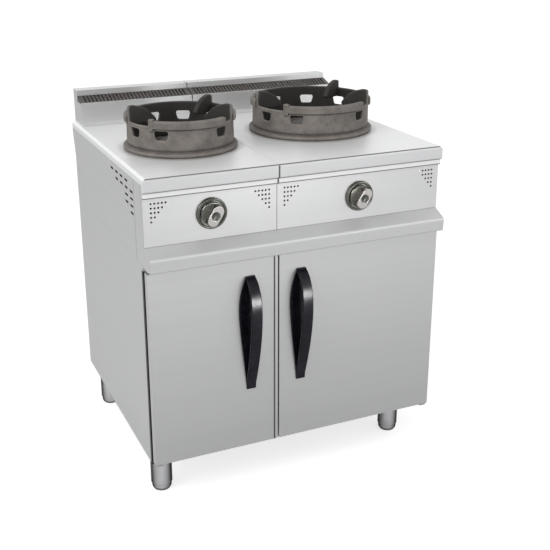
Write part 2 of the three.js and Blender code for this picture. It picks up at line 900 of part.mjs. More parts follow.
// The plug turns in the valve's body; the stem's square-cut tail slides in it.
function valvePlug(side) {
  const [x, z] = knobPlace(side);
  const across = [x - plugRadius - sheet, x + plugRadius + sheet];
  return cut(
    rodY(plugRadius, plugY, [x, z], roundFacets),
    rodY(tailRadius + gap, [plugY[0] - sheet, plugY[1] - 2 * sheet], [x, z], smallFacets),
    rodX(gasWayRadius, across, [plugY[1] - 4 * sheet, z], holeFacets),
  );
}

function valveStem(side) {
  const stemEndY = plugY[0] - knobTravel - 1;
  const tailEndY = plugY[1] - 2 * sheet - knobTravel - 3;
  return join(
    rodY(stemRadius, [stemFrontY, stemEndY], knobPlace(side), smallFacets),
    rodY(tailRadius, [stemEndY - 1, tailEndY], knobPlace(side), smallFacets),
  );
}

// From the side of the valve to the orifice holder in the mouth of the mixing tube.
function burnerFeed(side) {
  const [knobX, knobZ] = knobPlace(side);
  const [ringX] = ringPlace(side);
  const start = knobX + valveWidth / 2 + gap;
  const startZ = knobZ - feedDrop;
  const bend = feedRadius + 1;
  const holderY = [venturiMouthY - orifice.length / 2, venturiMouthY + orifice.length / 2];
  const at = (x, y, z) => new THREE.Vector3(x, y, z);
  const route = new THREE.CatmullRomCurve3([
    at(start, manifoldY + 4, startZ),
    at(start + bend, manifoldY + 4, startZ),
    at((start + ringX) / 2 + bend, (manifoldY + holderY[0] - bend) / 2, (startZ + venturiZ) / 2),
    at(ringX, holderY[0] - orifice.radius, venturiZ + 1),
    at(ringX, holderY[0] + 2, venturiZ),
  ]);
  const section = new THREE.Shape().absarc(0, 0, feedRadius, 0, 2 * Math.PI);
  const pipe = new THREE.ExtrudeGeometry(section, { steps: 8, curveSegments: 5, extrudePath: route });
  return join(solidOf(pipe), rodY(orifice.radius, holderY, [ringX, venturiZ], smallFacets));
}

// ---------- knobs ----------

function knobBezel(side) {
  return turnedForward(
    [
      [bezelInner, gap],
      [bezelRadius, gap],
      [bezelRadius, bezelDepth - 4],
      [bezelRadius - 2.5, bezelDepth],
      [bezelInner + 1.5, bezelDepth],
      [bezelInner, bezelDepth - 2],
    ],
    knobPlace(side),
    fasciaY,
    ringFacets,
  );
}

function knob(side) {
  const [x, z] = knobPlace(side);
  const skirtTop = knobBack + skirtThick;
  const skirt = turnedForward(
    [
      [0, knobBack],
      [skirtRadius, knobBack],
      [skirtRadius, skirtTop - 2],
      [skirtRadius - 3, skirtTop],
      [0, skirtTop],
    ],
    [x, z],
    fasciaY,
    ringFacets,
  );
  const straight = (gripLength - gripWidth) / 2;
  const bar = new THREE.Shape();
  bar.absarc(0, straight, gripWidth / 2, 0, Math.PI);
  bar.absarc(0, -straight, gripWidth / 2, Math.PI, 2 * Math.PI);
  const grip = extrude(bar, gripHeight, [unit.x, unit.z, unit.minusY]);
  grip.rotateY(THREE.MathUtils.degToRad(gripTilt)).translate(x, fasciaY - skirtTop + 1, z);
  const gripTop = skirtTop - 1 + gripHeight;
  const dimple = turnedForward(
    [
      [0, gripTop - dimpleDepth],
      [dimpleRadius, gripTop],
      [dimpleRadius, gripTop + dimpleDepth],
      [0, gripTop + dimpleDepth],
    ],
    [x, z],
    fasciaY,
    pipeFacets,
  );
  const bore = rodY(stemRadius + gap, [stemFrontY - gap, fasciaY], [x, z], smallFacets);
  return cut(join(skirt, solidOf(grip)), dimple, bore);
}

// ---------- cabinet ----------

function cabinetSide(side) {
  const outward = side === 'left' ? -1 : 1;
  const span = (outer, inner) => [outward * outer, outward * inner].sort((a, b) => a - b);
  return cut(
    box(
      span(halfWidth, halfWidth - cabinetFlange),
      [frameY, cabinetBackY],
      [cabinetBottomZ, jointZ - gap],
    ),
    box(
      span(halfWidth - sheet, halfWidth - cabinetFlange - sheet),
      [frameY + sheet, cabinetBackY - sheet],
      [cabinetBottomZ - sheet, jointZ + sheet],
    ),
  );
}

const insideX = halfWidth - sheet - gap;
const backFaceY = cabinetBackY - sheet - gap;

function cabinetBack() {
  return box(
    [-insideX, insideX],
    [backFaceY - sheet, backFaceY],
    [cabinetBottomZ, jointZ - gap],
  );
}

function cabinetFloor() {
  const y = [frameY + sheet + gap, backFaceY - sheet - gap];
  return cut(
    box([-insideX, insideX], y, [cabinetBottomZ, floorZ + sheet]),
    box(
      [-insideX + sheet, insideX - sheet],
      [y[0] + sheet, y[1] - sheet],
      [cabinetBottomZ - sheet, floorZ],
    ),
  );
}

function cabinetDivider() {
  const z = [floorZ + sheet + gap, jointZ - gap];
  const y = [frameY + sheet + gap, backFaceY - sheet - gap];
  return join(
    box([seamX - sheet / 2, seamX + sheet / 2], y, z),
    box([seamX - postWidth / 2, seamX + postWidth / 2], [y[0], y[0] + sheet], z),
  );
}

// One block under the top of the post holds a magnet for each door.
function doorCatch() {
  const half = doorCatchSize.width / 2;
  const topZ = jointZ - doorCatchSize.drop;
  const middleZ = topZ - doorCatchSize.height / 2;
  const y = [doorDepth + gap, frameY + sheet];
  const block = box([seamX - half, seamX + half], y, [topZ - doorCatchSize.height, topZ]);
  const grooves = [-1, 1].map((outward) => {
    const x = seamX + outward * magnet.aside;
    return box(
      [x - magnet.width / 2, x + magnet.width / 2],
      [y[0] - sheet, y[0] + magnet.proud],
      [middleZ - magnet.height / 2, middleZ + magnet.height / 2],
    );
  });
  return cut(block, ...grooves);
}

// ---------- doors, hinges and handles ----------

const pinX = (side) => (side === 'left' ? -1 : 1) * (halfWidth - pinInset);

function pinHoles(side) {
  const span = [doorBottomZ - sheet, doorTopZ + sheet];
  return rodZ(pinRadius + gap, span, [pinX(side), pinY], smallFacets);
}

function doorSkin(side) {
  const [x0, x1] = doorSpans[side];
  const depth = doorDepth - sheet - gap;
  const outer = box([x0, x1], [0, depth], [doorBottomZ, doorTopZ]);
  const inner = box(
    [x0 + sheet, x1 - sheet],
    [sheet, depth + sheet],
    [doorBottomZ + sheet, doorTopZ - sheet],
  );
  return cut(outer, inner, pinHoles(side));
}

function doorLiner(side) {
  const [x0, x1] = doorSpans[side];
  const lap = sheet + gap;
  const plate = box([x0, x1], [doorDepth - sheet, doorDepth], [doorBottomZ, doorTopZ]);
  const rim = cut(
    box(
      [x0 + lap, x1 - lap],
      [doorDepth - linerRim, doorDepth - sheet / 2],
      [doorBottomZ + lap, doorTopZ - lap],
    ),
    box(
      [x0 + lap + sheet, x1 - lap - sheet],
      [doorDepth - linerRim - sheet, doorDepth],
      [doorBottomZ + lap + sheet, doorTopZ - lap - sheet],
    ),
  );
  return cut(join(plate, rim), pinHoles(side));
}

// A bracket on the cabinet's front flange with the pin that the door turns on.
function hinge(side, level) {
  const x = pinX(side);
  const half = bracketWidth / 2;
  const legY = [frameY - gap - 2, frameY - gap];
  // z from the far face of the bracket's plate towards the door
  const [from, towards] =
    level === 'upper' ? [doorTopZ + 2 * bracketThick, -1] : [doorBottomZ - 2 * bracketThick, 1];
  const reach = (length) => [from, from + towards * length].sort((a, b) => a - b);
  return join(
    box([x - half, x + half], [pinY - bracketWidth / 2 + 2, legY[1]], reach(bracketThick)),
    box([x - half, x + half], legY, reach(bracketLeg)),
    rodZ(pinRadius, reach(pinLength), [x, pinY], smallFacets),
  );
}

// The bow's side view: a quick rise from the top end, then a long run to the lower end.
function bowOutline(inset) {
  const [low, high] = handleZ;
  const front = -handleBow + inset;
  const back = inset ? -gap - leafThick : -gap;
  const upper = high - inset * 2.6;
  const lower = low + inset * 2.6;
  const run = (handlePeakZ - low) * 0.215;
  const outline = new THREE.Shape();
  outline.moveTo(back, upper);
  outline.bezierCurveTo(front * 0.6, upper - 8, front, handlePeakZ + run * 0.68, front, handlePeakZ);
  outline.bezierCurveTo(front, handlePeakZ - run, front * 0.45, lower + run, back, lower);
  outline.closePath();
  return outline;
}

function leafOutline(x) {
  const [low, high] = handleZ;
  const wideZ = high - leafWidest;
  const end = handleWidth / 2 - 2;
  const curve = [
    [end + 4, low + (wideZ - low) * 0.28, leafHalf, wideZ - (wideZ - low) * 0.25, leafHalf, wideZ],
    [leafHalf, wideZ + leafWidest / 2, end + 6, high - leafWidest * 0.22, end, high],
  ];
  const leaf = new THREE.Shape();
  leaf.moveTo(x - end, low);
  leaf.lineTo(x + end, low);
  for (const [u1, v1, u2, v2, u, v] of curve) leaf.bezierCurveTo(x + u1, v1, x + u2, v2, x + u, v);
  leaf.lineTo(x - end, high);
  const [[u1, v1, u2, v2], [u3, v3, u4, v4]] = curve;
  leaf.bezierCurveTo(x - u4, v4, x - u3, v3, x - leafHalf, wideZ);
  leaf.bezierCurveTo(x - u2, v2, x - u1, v1, x - end, low);
  return leaf;
}

function handle(side) {
  const x = seamX + handleFromSeam[side];
  const half = handleWidth / 2;
  const bow = cut(
    alongX(bowOutline(0), [x - half, x + half]),
    alongX(bowOutline(handleThick), [x - half - sheet, x + half + sheet]),
  );
  return join(bow, alongY(leafOutline(x), [-gap - leafThick, -gap]));
}

// ---------- legs ----------

function legPlace(corner) {
  const [fromSide, fromEnd] = legInsets[corner];
  const x = halfWidth - fromSide;
  return [
    corner.endsWith('left') ? -x : x,
    corner.startsWith('front') ? frameY + fromEnd : cabinetBackY - fromEnd,
  ];
}

function legSleeve(corner) {
  const at = legPlace(corner);
  const top = floorZ - gap;
  const lid = 4;
  return cut(
    rodZ(sleeveRadius, [sleeveBottomZ, top], at, roundFacets),
    rodZ(sleeveRadius - sleeveWall, [sleeveBottomZ - sheet, top - lid], at, roundFacets),
    rodZ(studRadius + gap, [top - lid - sheet, top + sheet], at, roundFacets),
  );
}

function foot(corner) {
  const studTop = floorZ - gap - 1;
  return turned(
    [
      [0, 0],
      [footRadius - footTaper, 0],
      [footRadius - 2, 5],
      [footRadius, 14],
      [footRadius, footBodyTopZ],
      [studRadius, footBodyTopZ + 2],
      [studRadius, studTop],
      [0, studTop],
    ],
    legPlace(corner),
    roundFacets,
  );
}

// ---------- put together ----------

for (const side of ['left', 'right']) {
  place(`worktop_${side}`, worktop(side), 'steel');
  place(`fascia_${side}`, fascia(side), 'steel');
  place(`upper_side_${side}`, upperSide(side), 'steel');
  place(`flue_${side}`, flue(side), 'steel');
  place(`wok_ring_${side}`, wokRing(side), 'iron');
  place(`drip_bowl_${side}`, dripBowl(side), 'inner');
  place(`burner_${side}`, burner(side), 'iron');
  place(`burner_cap_${side}`, burnerCap(side), 'iron');
  place(`pilot_${side}`, pilot(side), 'brass');
  place(`gas_valve_${side}`, gasValve(side), 'brass');
  place(`valve_plug_${side}`, valvePlug(side), 'brass');
  place(`valve_stem_${side}`, valveStem(side), 'brass');
  place(`burner_feed_${side}`, burnerFeed(side), 'brass');
  place(`knob_bezel_${side}`, knobBezel(side), 'gunmetal');
  place(`knob_${side}`, knob(side), 'chrome');
  place(`cabinet_side_${side}`, cabinetSide(side), 'steel');
  place(`door_skin_${side}`, doorSkin(side), 'steel');
  place(`door_liner_${side}`, doorLiner(side), 'inner');
  place(`handle_${side}`, handle(side), 'black');
  place(`hinge_upper_${side}`, hinge(side, 'upper'), 'inner');
  place(`hinge_lower_${side}`, hinge(side, 'lower'), 'inner');
}

for (const corner of Object.keys(legInsets)) {
  place(`leg_sleeve_${corner}`, legSleeve(corner), 'chrome');
  place(`foot_${corner}`, foot(corner), 'chrome');
}

place('apron', apron(), 'steel');
place('upper_back', upperBack(), 'inner');
place('bulkhead', bulkhead(), 'inner');
place('burner_deck', burnerDeck(), 'inner');
place('gas_manifold', gasManifold(), 'inner');
place('cabinet_back', cabinetBack(), 'inner');
place('cabinet_floor', cabinetFloor(), 'inner');
place('cabinet_divider', cabinetDivider(), 'inner');
place('door_catch', doorCatch(), 'gunmetal');

export default range;
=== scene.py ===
import json
import math

import bmesh
import bpy
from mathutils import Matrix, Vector

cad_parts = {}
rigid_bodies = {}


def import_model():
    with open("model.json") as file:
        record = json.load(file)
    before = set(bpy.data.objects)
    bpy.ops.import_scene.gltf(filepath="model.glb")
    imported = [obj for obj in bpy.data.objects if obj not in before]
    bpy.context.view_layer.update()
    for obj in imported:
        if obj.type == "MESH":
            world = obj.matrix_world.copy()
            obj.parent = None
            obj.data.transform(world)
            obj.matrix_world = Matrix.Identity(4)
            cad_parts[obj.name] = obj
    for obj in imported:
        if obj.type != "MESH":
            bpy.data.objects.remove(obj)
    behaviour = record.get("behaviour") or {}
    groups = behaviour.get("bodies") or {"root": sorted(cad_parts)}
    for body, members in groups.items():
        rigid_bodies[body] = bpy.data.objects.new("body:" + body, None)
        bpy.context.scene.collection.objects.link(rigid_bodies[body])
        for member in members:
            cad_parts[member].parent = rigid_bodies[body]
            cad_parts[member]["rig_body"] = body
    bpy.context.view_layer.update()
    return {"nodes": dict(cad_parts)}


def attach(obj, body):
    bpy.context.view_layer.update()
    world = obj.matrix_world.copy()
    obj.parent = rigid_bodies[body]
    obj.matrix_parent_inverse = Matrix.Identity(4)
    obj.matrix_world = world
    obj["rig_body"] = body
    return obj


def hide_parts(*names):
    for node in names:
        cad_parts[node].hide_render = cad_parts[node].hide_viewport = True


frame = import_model()

# Shapes are laid out in millimetres: x from the middle of the width, y back from the front of the
# doors, z up from the floor that the range would stand on with its feet screwed in. Here the feet
# are out by FEET_OUT. Tinted bands, lamps and the camera are in metres of the row frame.
MM = 0.001
MIDDLE_Y = 326.0
FEET_OUT = 10.0
TOP_Z = 850.3
SIDES = ("left", "right")
CORNERS = ("front_left", "front_right", "rear_left", "rear_right")
RINGS = {"left": (-213, 278, 147), "right": (184, 332, 170)}  # x, y, radius of the foot
KNOBS = {"left": (-232, 746), "right": (166, 741)}  # x, z
HANDLES = {"left": -139, "right": 0}  # x
LEGS = {  # x, y
    "front_left": (-364, 76),
    "front_right": (332, 98),
    "rear_left": (-364, 590),
    "rear_right": (332, 620),
}


def metres(x, y, z):
    return Vector((x * MM, (y - MIDDLE_Y) * MM, (z + FEET_OUT) * MM))


def layout(co):
    return Vector((co.x / MM, co.y / MM + MIDDLE_Y, co.z / MM - FEET_OUT))


# ---------- materials ----------

MIX_FACTOR, MIX_A, MIX_B, MIX_RESULT = 0, 6, 7, 2  # sockets of a Mix node that mixes colours


def rgb(r, g=None, b=None):
    return (r, r if g is None else g, r if b is None else b, 1.0)


def scaled(colour, factor, offset=0.0):
    return rgb(*(c * factor + offset for c in colour))


def add_node(tree, kind, inputs=None, **settings):
    """Adds a node; each of its inputs gets a value, or a link from a socket."""
    made = tree.nodes.new(kind)
    for key, value in settings.items():
        setattr(made, key, value)
    for key, value in (inputs or {}).items():
        if isinstance(value, bpy.types.NodeSocket):
            tree.links.new(value, made.inputs[key])
        else:
            made.inputs[key].default_value = value
    return made


class Paint:
    """A Principled material, with short ways to add the nodes that vary it."""

    def __init__(self, name, **sockets):
        self.material = bpy.data.materials.new(name)
        self.material.use_nodes = True
        self.tree = self.material.node_tree
        self.shader = self.tree.nodes["Principled BSDF"]
        for socket, value in sockets.items():
            self.shader.inputs[socket.replace("_", " ")].default_value = value
        self.place = self.node("ShaderNodeTexCoord").outputs["Object"]

    def node(self, kind, inputs=None, **settings):
        return add_node(self.tree, kind, inputs, **settings)

    def noise(self, scale, detail, rough, stretch=(1, 1, 1), shift=0.0, twist=0.0):
        where = self.node(
            "ShaderNodeMapping", {"Vector": self.place, "Scale": stretch, "Location": (shift,) * 3}
        ).outputs[0]
        inputs = {"Vector": where, "Scale": scale, "Detail": detail, "Roughness": rough}
        return self.node("ShaderNodeTexNoise", {**inputs, "Distortion": twist}).outputs["Fac"]

    def remap(self, value, low, high, start=0.3, end=0.7):
        """low at start and high at end, held beyond them; a noise stays between 0.3 and 0.7."""
        inputs = {"Value": value, "From Min": start, "From Max": end, "To Min": low, "To Max": high}
        return self.node("ShaderNodeMapRange", inputs).outputs["Result"]

    def maths(self, operation, a, b):
        return self.node("ShaderNodeMath", {0: a, 1: b}, operation=operation).outputs[0]

    def blend(self, factor, a, b):
        inputs = {MIX_FACTOR: factor, MIX_A: a, MIX_B: b}
        return self.node("ShaderNodeMix", inputs, data_type="RGBA").outputs[MIX_RESULT]

    def bump(self, height, distance, strength, under=None):
        inputs = {"Height": height, "Distance": distance, "Strength": strength}
        if under:
            inputs["Normal"] = under
        return self.node("ShaderNodeBump", inputs).outputs["Normal"]

    def band(self, axis, low, high, soft=0.0006):
        """1 between two places along an axis of the row frame, 0 outside."""
        where = self.node("ShaderNodeSeparateXYZ", {0: self.place}).outputs[axis.upper()]
        rise = self.remap(where, 0.0, 1.0, low - soft, low + soft)
        return self.maths("MULTIPLY", rise, self.remap(where, 1.0, 0.0, high - soft, high + soft))

    def pointiness(self):
        """Above 0.5 on convex edges, below it in hollows."""
        return self.node("ShaderNodeNewGeometry").outputs["Pointiness"]

    def from_axis(self, centre):
        """How far a point is from an upright axis, in metres."""
        x, y = metres(centre[0], centre[1], 0).xy
        away = self.vector("SUBTRACT", self.place, (x, y, 0)).outputs[0]
        flat = self.vector("MULTIPLY", away, (1, 1, 0)).outputs[0]
        return self.vector("LENGTH", flat).outputs["Value"]

    def vector(self, operation, *values):
        return self.node("ShaderNodeVectorMath", dict(enumerate(values)), operation=operation)

    def set(self, **links):
        for socket, value in links.items():
            self.tree.links.new(value, self.shader.inputs[socket.replace("_", " ")])
        return self.material


LINE_SCALE = (5, 420)  # noise scale along and across the finest brush lines
STREAK_SCALE = (0.8, 60)
LINE_DEPTH = 0.000003
ROUGHNESS_SPREAD = 0.012
STREAK_DARK, STREAK_LIGHT = (0.98, 0.983, 0.983), (1.012, 1.014, 1.012)  # times the sheet's tone
SMUDGE = (0.965, 0.965, 0.96)
# Painted shade inside the wok rings, and a painted shadow round their foot, on the worktop.
INSIDE_RING_SHADE, RING_FOOT_SHADOW = rgb(0.15, 0.125, 0.105), rgb(0.3, 0.28, 0.26)


def along_grain(grain, scales):
    return tuple(scales[0] if axis == grain else scales[1] for axis in "xyz")


def steel(name, grain, tone, rough=0.32, smudge=0.012, metallic=0.8, bands=(), darkening=()):
    """Brushed stainless sheet; grain is the axis that the brush lines run along.

    bands are (colour, ((axis, low, high), ...)): boxes of the row frame that are tinted. The rings
    given last are (x, y, radius): painted shade darkens the sheet inside each, and a painted shadow
    lies round its foot.
    """
    paint = Paint(name, Metallic=metallic)
    lines = paint.noise(1.0, 2, 0.5, along_grain(grain, LINE_SCALE))
    streaks = paint.noise(1.0, 3, 0.6, along_grain(grain, STREAK_SCALE), shift=3.1)
    marks = paint.noise(5.0, 4, 0.55, shift=1.7, twist=0.4)
    colour = paint.blend(
        paint.remap(streaks, 0.0, 1.0), scaled(STREAK_DARK, tone), scaled(STREAK_LIGHT, tone)
    )
    colour = paint.blend(paint.remap(marks, 0.0, 0.3, 0.5, 0.8), colour, scaled(SMUDGE, tone))
    for tint, limits in bands:
        inside = None
        for limit in limits:
            mask = paint.band(*limit)
            inside = paint.maths("MULTIPLY", inside, mask) if inside else mask
        colour = paint.blend(inside, colour, rgb(*tint))
    for ring in darkening:
        radius = ring[2]
        edge = paint.maths("ADD", paint.from_axis(ring), paint.remap(marks, -0.002, 0.002))
        # Painted shade: the sheet inside the ring is darkened.
        inside_shade = paint.remap(edge, 0.85, 0.0, (radius - 19) * MM, (radius - 13) * MM)
        colour = paint.blend(inside_shade, colour, INSIDE_RING_SHADE)
        # Painted shadow: a soft dark ring round the foot of the wok ring.
        foot_shadow = paint.remap(edge, 0.5, 0.0, (radius - 1) * MM, (radius + 20) * MM)
        colour = paint.blend(foot_shadow, colour, RING_FOOT_SHADOW)
    gloss = paint.maths(
        "ADD",
        paint.remap(streaks, rough - ROUGHNESS_SPREAD, rough + ROUGHNESS_SPREAD),
        paint.remap(marks, -smudge, smudge),
    )
    return paint.set(Base_Color=colour, Roughness=gloss, Normal=paint.bump(lines, LINE_DEPTH, 0.5))


IRON_LIGHT, IRON_DARK = (0.25, 0.228, 0.208), (0.105, 0.094, 0.085)
IRON_GRAIN, IRON_WORN = rgb(0.3, 0.27, 0.24), rgb(0.33, 0.31, 0.285)
# The two darkest iron colours are painted shade: in hollows, and inside the ring.
IRON_HOLLOW_SHADE, IRON_INSIDE_SHADE = rgb(0.03, 0.027, 0.025), rgb(0.022, 0.02, 0.018)


def cast_iron(name, light=IRON_LIGHT, dark=IRON_DARK, rough=0.68, shaded_inside=None):
    """Rough casting; the last argument is an (x, y, radius) inside which the casting is blackened
    with painted shade.
    """
    paint = Paint(name, Metallic=0.25, Specular_IOR_Level=0.4)
    patches = paint.noise(26.0, 6, 0.65, shift=0.4)
    grains = paint.noise(420.0, 5, 0.7, shift=2.2)
    pits = paint.noise(150.0, 3, 0.6, shift=6.1)
    colour = paint.blend(paint.remap(patches, 0.0, 1.0), rgb(*dark), rgb(*light))
    colour = paint.blend(paint.remap(grains, 0.0, 0.4, 0.45, 0.75), colour, IRON_GRAIN)
    colour = paint.blend(paint.remap(paint.pointiness(), 0.0, 1.0, 0.51, 0.6), colour, IRON_WORN)
    # Painted shade: hollows and grooves are darkened.
    hollows = paint.remap(paint.pointiness(), 1.0, 0.0, 0.462, 0.4975)
    colour = paint.blend(hollows, colour, IRON_HOLLOW_SHADE)
    # Painted shade: the inside of the ring is blackened.
    if shaded_inside:
        radius = shaded_inside[2]
        edge = paint.maths("ADD", paint.from_axis(shaded_inside), paint.remap(patches, -0.0015, 0.0015))
        inside = paint.remap(edge, 0.88, 0.0, (radius - 17) * MM, (radius - 12) * MM)
        colour = paint.blend(inside, colour, IRON_INSIDE_SHADE)
    relief = paint.bump(grains, 0.0005, 0.7, paint.bump(pits, 0.001, 0.6))
    gloss = paint.remap(patches, rough - 0.12, rough + 0.12)
    return paint.set(Base_Color=colour, Roughness=gloss, Normal=relief)


def gloss_black(name):
    paint = Paint(name, Specular_IOR_Level=0.2)
    prints = paint.noise(38.0, 4, 0.55, shift=1.1, twist=0.5)
    ripple = paint.noise(260.0, 2, 0.4, shift=4.0)
    darker, lighter = rgb(0.003, 0.003, 0.005), rgb(0.007, 0.007, 0.01)
    return paint.set(
        Base_Color=paint.blend(paint.remap(prints, 0.0, 1.0), darker, lighter),
        Roughness=paint.remap(prints, 0.22, 0.28),
        Normal=paint.bump(ripple, 0.00008, 0.5),
    )


def bright_metal(name, colour, rough, wear, scale=60.0, lines=(260, 260, 260), slant_reflection=None):
    """Chrome, polished tube, brass or lacquered metal; the last argument is a dark colour painted
    on where the surface turns away from the camera: a painted reflection.
    """
    paint = Paint(name, Metallic=1.0)
    haze = paint.noise(scale, 5, 0.6, shift=2.7, twist=0.3)
    scratches = paint.noise(1.0, 3, 0.6, lines, shift=0.9)
    tint = paint.blend(paint.remap(haze, 0.0, 1.0), scaled(colour, 0.86), rgb(*colour))
    worn = tuple(min(1.0, c) for c in scaled(colour, 1.25, 0.03))
    tint = paint.blend(paint.remap(paint.pointiness(), 0.0, 1.0, 0.52, 0.62), tint, worn)
    if slant_reflection:
        # Painted reflection: a dark rim where the surface is seen at a slant.
        facing = paint.node("ShaderNodeLayerWeight", {"Blend": 0.5}).outputs["Facing"]
        tint = paint.blend(paint.remap(facing, 0.0, 1.0, 0.16, 0.55), tint, rgb(*slant_reflection))
    return paint.set(
        Base_Color=tint,
        Roughness=paint.remap(haze, rough - wear, rough + wear),
        Normal=paint.bump(scratches, 0.00004, 0.6),
    )


def dull_paint(name, colour, rough, grain=300.0):
    paint = Paint(name, Specular_IOR_Level=0.4)
    cloud = paint.noise(18.0, 5, 0.6, shift=1.9)
    fleck = paint.noise(grain, 3, 0.6, shift=3.3)
    tint = paint.blend(paint.remap(cloud, 0.0, 1.0), scaled(colour, 0.88), rgb(*colour))
    edges = paint.remap(paint.pointiness(), 0.0, 1.0, 0.52, 0.62)
    return paint.set(
        Base_Color=paint.blend(edges, tint, scaled(colour, 1.12)),
        Roughness=paint.remap(cloud, rough - 0.08, rough + 0.08),
        Normal=paint.bump(fleck, 0.0002, 0.5),
    )


def heated_steel(name, centre):
    """Stainless of the drip bowls, with brown heat colours near the burner."""
    paint = Paint(name, Metallic=1.0)
    stains = paint.noise(30.0, 6, 0.65, shift=0.7)
    near = paint.remap(paint.from_axis(centre), 0.8, -0.1, 0.05, 0.14)
    heat = paint.maths("ADD", near, paint.remap(stains, -0.25, 0.25))
    cool, darkening = rgb(0.13, 0.122, 0.115), rgb(0.06, 0.04, 0.03)
    turnings = paint.noise(240.0, 3, 0.5, shift=3.9)
    return paint.set(
        Base_Color=paint.blend(paint.remap(heat, 0.0, 1.0, 0.1, 0.8), cool, darkening),
        Roughness=paint.remap(stains, 0.25, 0.5),
        Normal=paint.bump(turnings, 0.0001, 0.5),
    )


# Painted shade: the front faces of the worktop's nose get a darker tone than its top.
NOSE_FACE_SHADE = ((0.69, 0.692, 0.694), (("y", -0.36, -0.3285), ("z", 0.80, 0.8572)))
# Painted shade: a dark line along the rounded top edge of the nose.
NOSE_EDGE_SHADE = ((0.2, 0.2, 0.2), (("y", -0.3298, -0.3264), ("z", 0.856, 0.862)))
# Painted shade: a dark line at the step part way down the nose.
NOSE_STEP_SHADE = ((0.3, 0.3, 0.3), (("y", -0.3330, -0.3215), ("z", 0.8232, 0.8268)))
# Painted shadow: a dark line under the nose, just above the panel.
NOSE_UNDER_SHADOW = ((0.2, 0.2, 0.2), (("y", -0.3250, -0.3150), ("z", 0.8095, 0.8128)))
# Painted shade: a dark band over the narrow gap between the two worktops.
NOSE_GAP_SHADE = (
    (0.2, 0.2, 0.2),
    (("x", -0.0645, -0.0598), ("y", -0.36, -0.3120), ("z", 0.80, 0.8572)),
)
SIDE_SEAM = ((0.3, 0.3, 0.3), (("y", -0.2490, -0.2466), ("z", 0.64, 0.8430)))
# Painted shade: a dark band on the left door's face next to its fold by the middle gap.
DOOR_EDGE_SHADE = ((0.1, 0.1, 0.1), (("x", -0.0755, -0.0712), ("z", 0.11, 0.63)))
# Painted shadow: a near-black band on the front of the cabinet sides, where the gap behind the
# doors lies in shadow.
DOOR_GAP_SHADOW = ((0.012, 0.012, 0.013), (("y", -0.3065, -0.2840), ("z", 0.1, 0.6275)))
# Painted shade: the sloped, slotted strip of the flue is darkened to stand for its shade and dark
# reflection.
FLUE_SLOT_SHADE = ((0.13, 0.115, 0.105), (("y", 0.2875, 0.3312), ("z", 0.922, 0.9394)))

PAINTS = {
    "steel_x": steel("brushed_steel_wide", "x", 0.72),
    "steel_door": steel("door_steel", "x", 0.68, bands=(DOOR_EDGE_SHADE,)),
    "steel_apron": steel("apron_steel", "x", 0.66, rough=0.5, metallic=0.55),
    "steel_y": steel("brushed_steel_deep", "y", 0.74, rough=0.38, bands=(SIDE_SEAM,)),
    "steel_side": steel("cabinet_side_steel", "y", 0.74, rough=0.38, bands=(DOOR_GAP_SHADOW,)),
    # The worktop's top has a raised tone as painted light; the nose bands paint shade on its front.
    "steel_top": steel(
        "worktop_steel", "x", 0.93, rough=0.45, smudge=0.03, metallic=0.5,
        bands=(NOSE_FACE_SHADE, NOSE_EDGE_SHADE, NOSE_STEP_SHADE, NOSE_UNDER_SHADOW, NOSE_GAP_SHADE), darkening=RINGS.values(),
    ),
    "steel_flue": steel(
        "flue_steel", "x", 0.72, rough=0.4, smudge=0.02, metallic=0.75, bands=(FLUE_SLOT_SHADE,)
    ),
    "inner_x": steel("inner_steel_wide", "x", 0.56, rough=0.42, smudge=0.08),
    "inner_y": steel("inner_steel_deep", "y", 0.56, rough=0.42, smudge=0.08),
    "ring_left": cast_iron("ring_iron_left", shaded_inside=RINGS["left"]),
    "ring_right": cast_iron("ring_iron_right", shaded_inside=RINGS["right"]),
    "burner": cast_iron("burner_iron", (0.1, 0.09, 0.085), (0.03, 0.028, 0.03), rough=0.62),
    "black": gloss_black("black_gloss_moulding"),
    "chrome": bright_metal("knob_chrome", (0.6, 0.57, 0.56), rough=0.12, wear=0.04),
    "gunmetal": bright_metal("dark_bezel_metal", (0.17, 0.175, 0.155), rough=0.2, wear=0.06),
    "tube": bright_metal(
        "polished_leg_tube", (0.92, 0.92, 0.93), rough=0.08, wear=0.03, scale=40.0,
        lines=(52, 52, 1800), slant_reflection=(0.04, 0.04, 0.042),
    ),
    "brass": bright_metal("machined_brass", (0.6, 0.44, 0.2), rough=0.28, wear=0.08, scale=90.0),
    "pipe": dull_paint("grey_pipe_paint", (0.42, 0.43, 0.44), rough=0.45),
    "catch": dull_paint("pale_catch_moulding", (0.72, 0.71, 0.67), rough=0.42, grain=500.0),
    "bowl_left": heated_steel("bowl_steel_left", RINGS["left"]),
    "bowl_right": heated_steel("bowl_steel_right", RINGS["right"]),
}


# ---------- shapes ----------

MERGE = 2e-5  # metres within which the points of a CAD mesh are one
FLAT = 0.6  # degrees under which two faces are one
EASED_ANGLE, EASED_STEPS = 25, 2


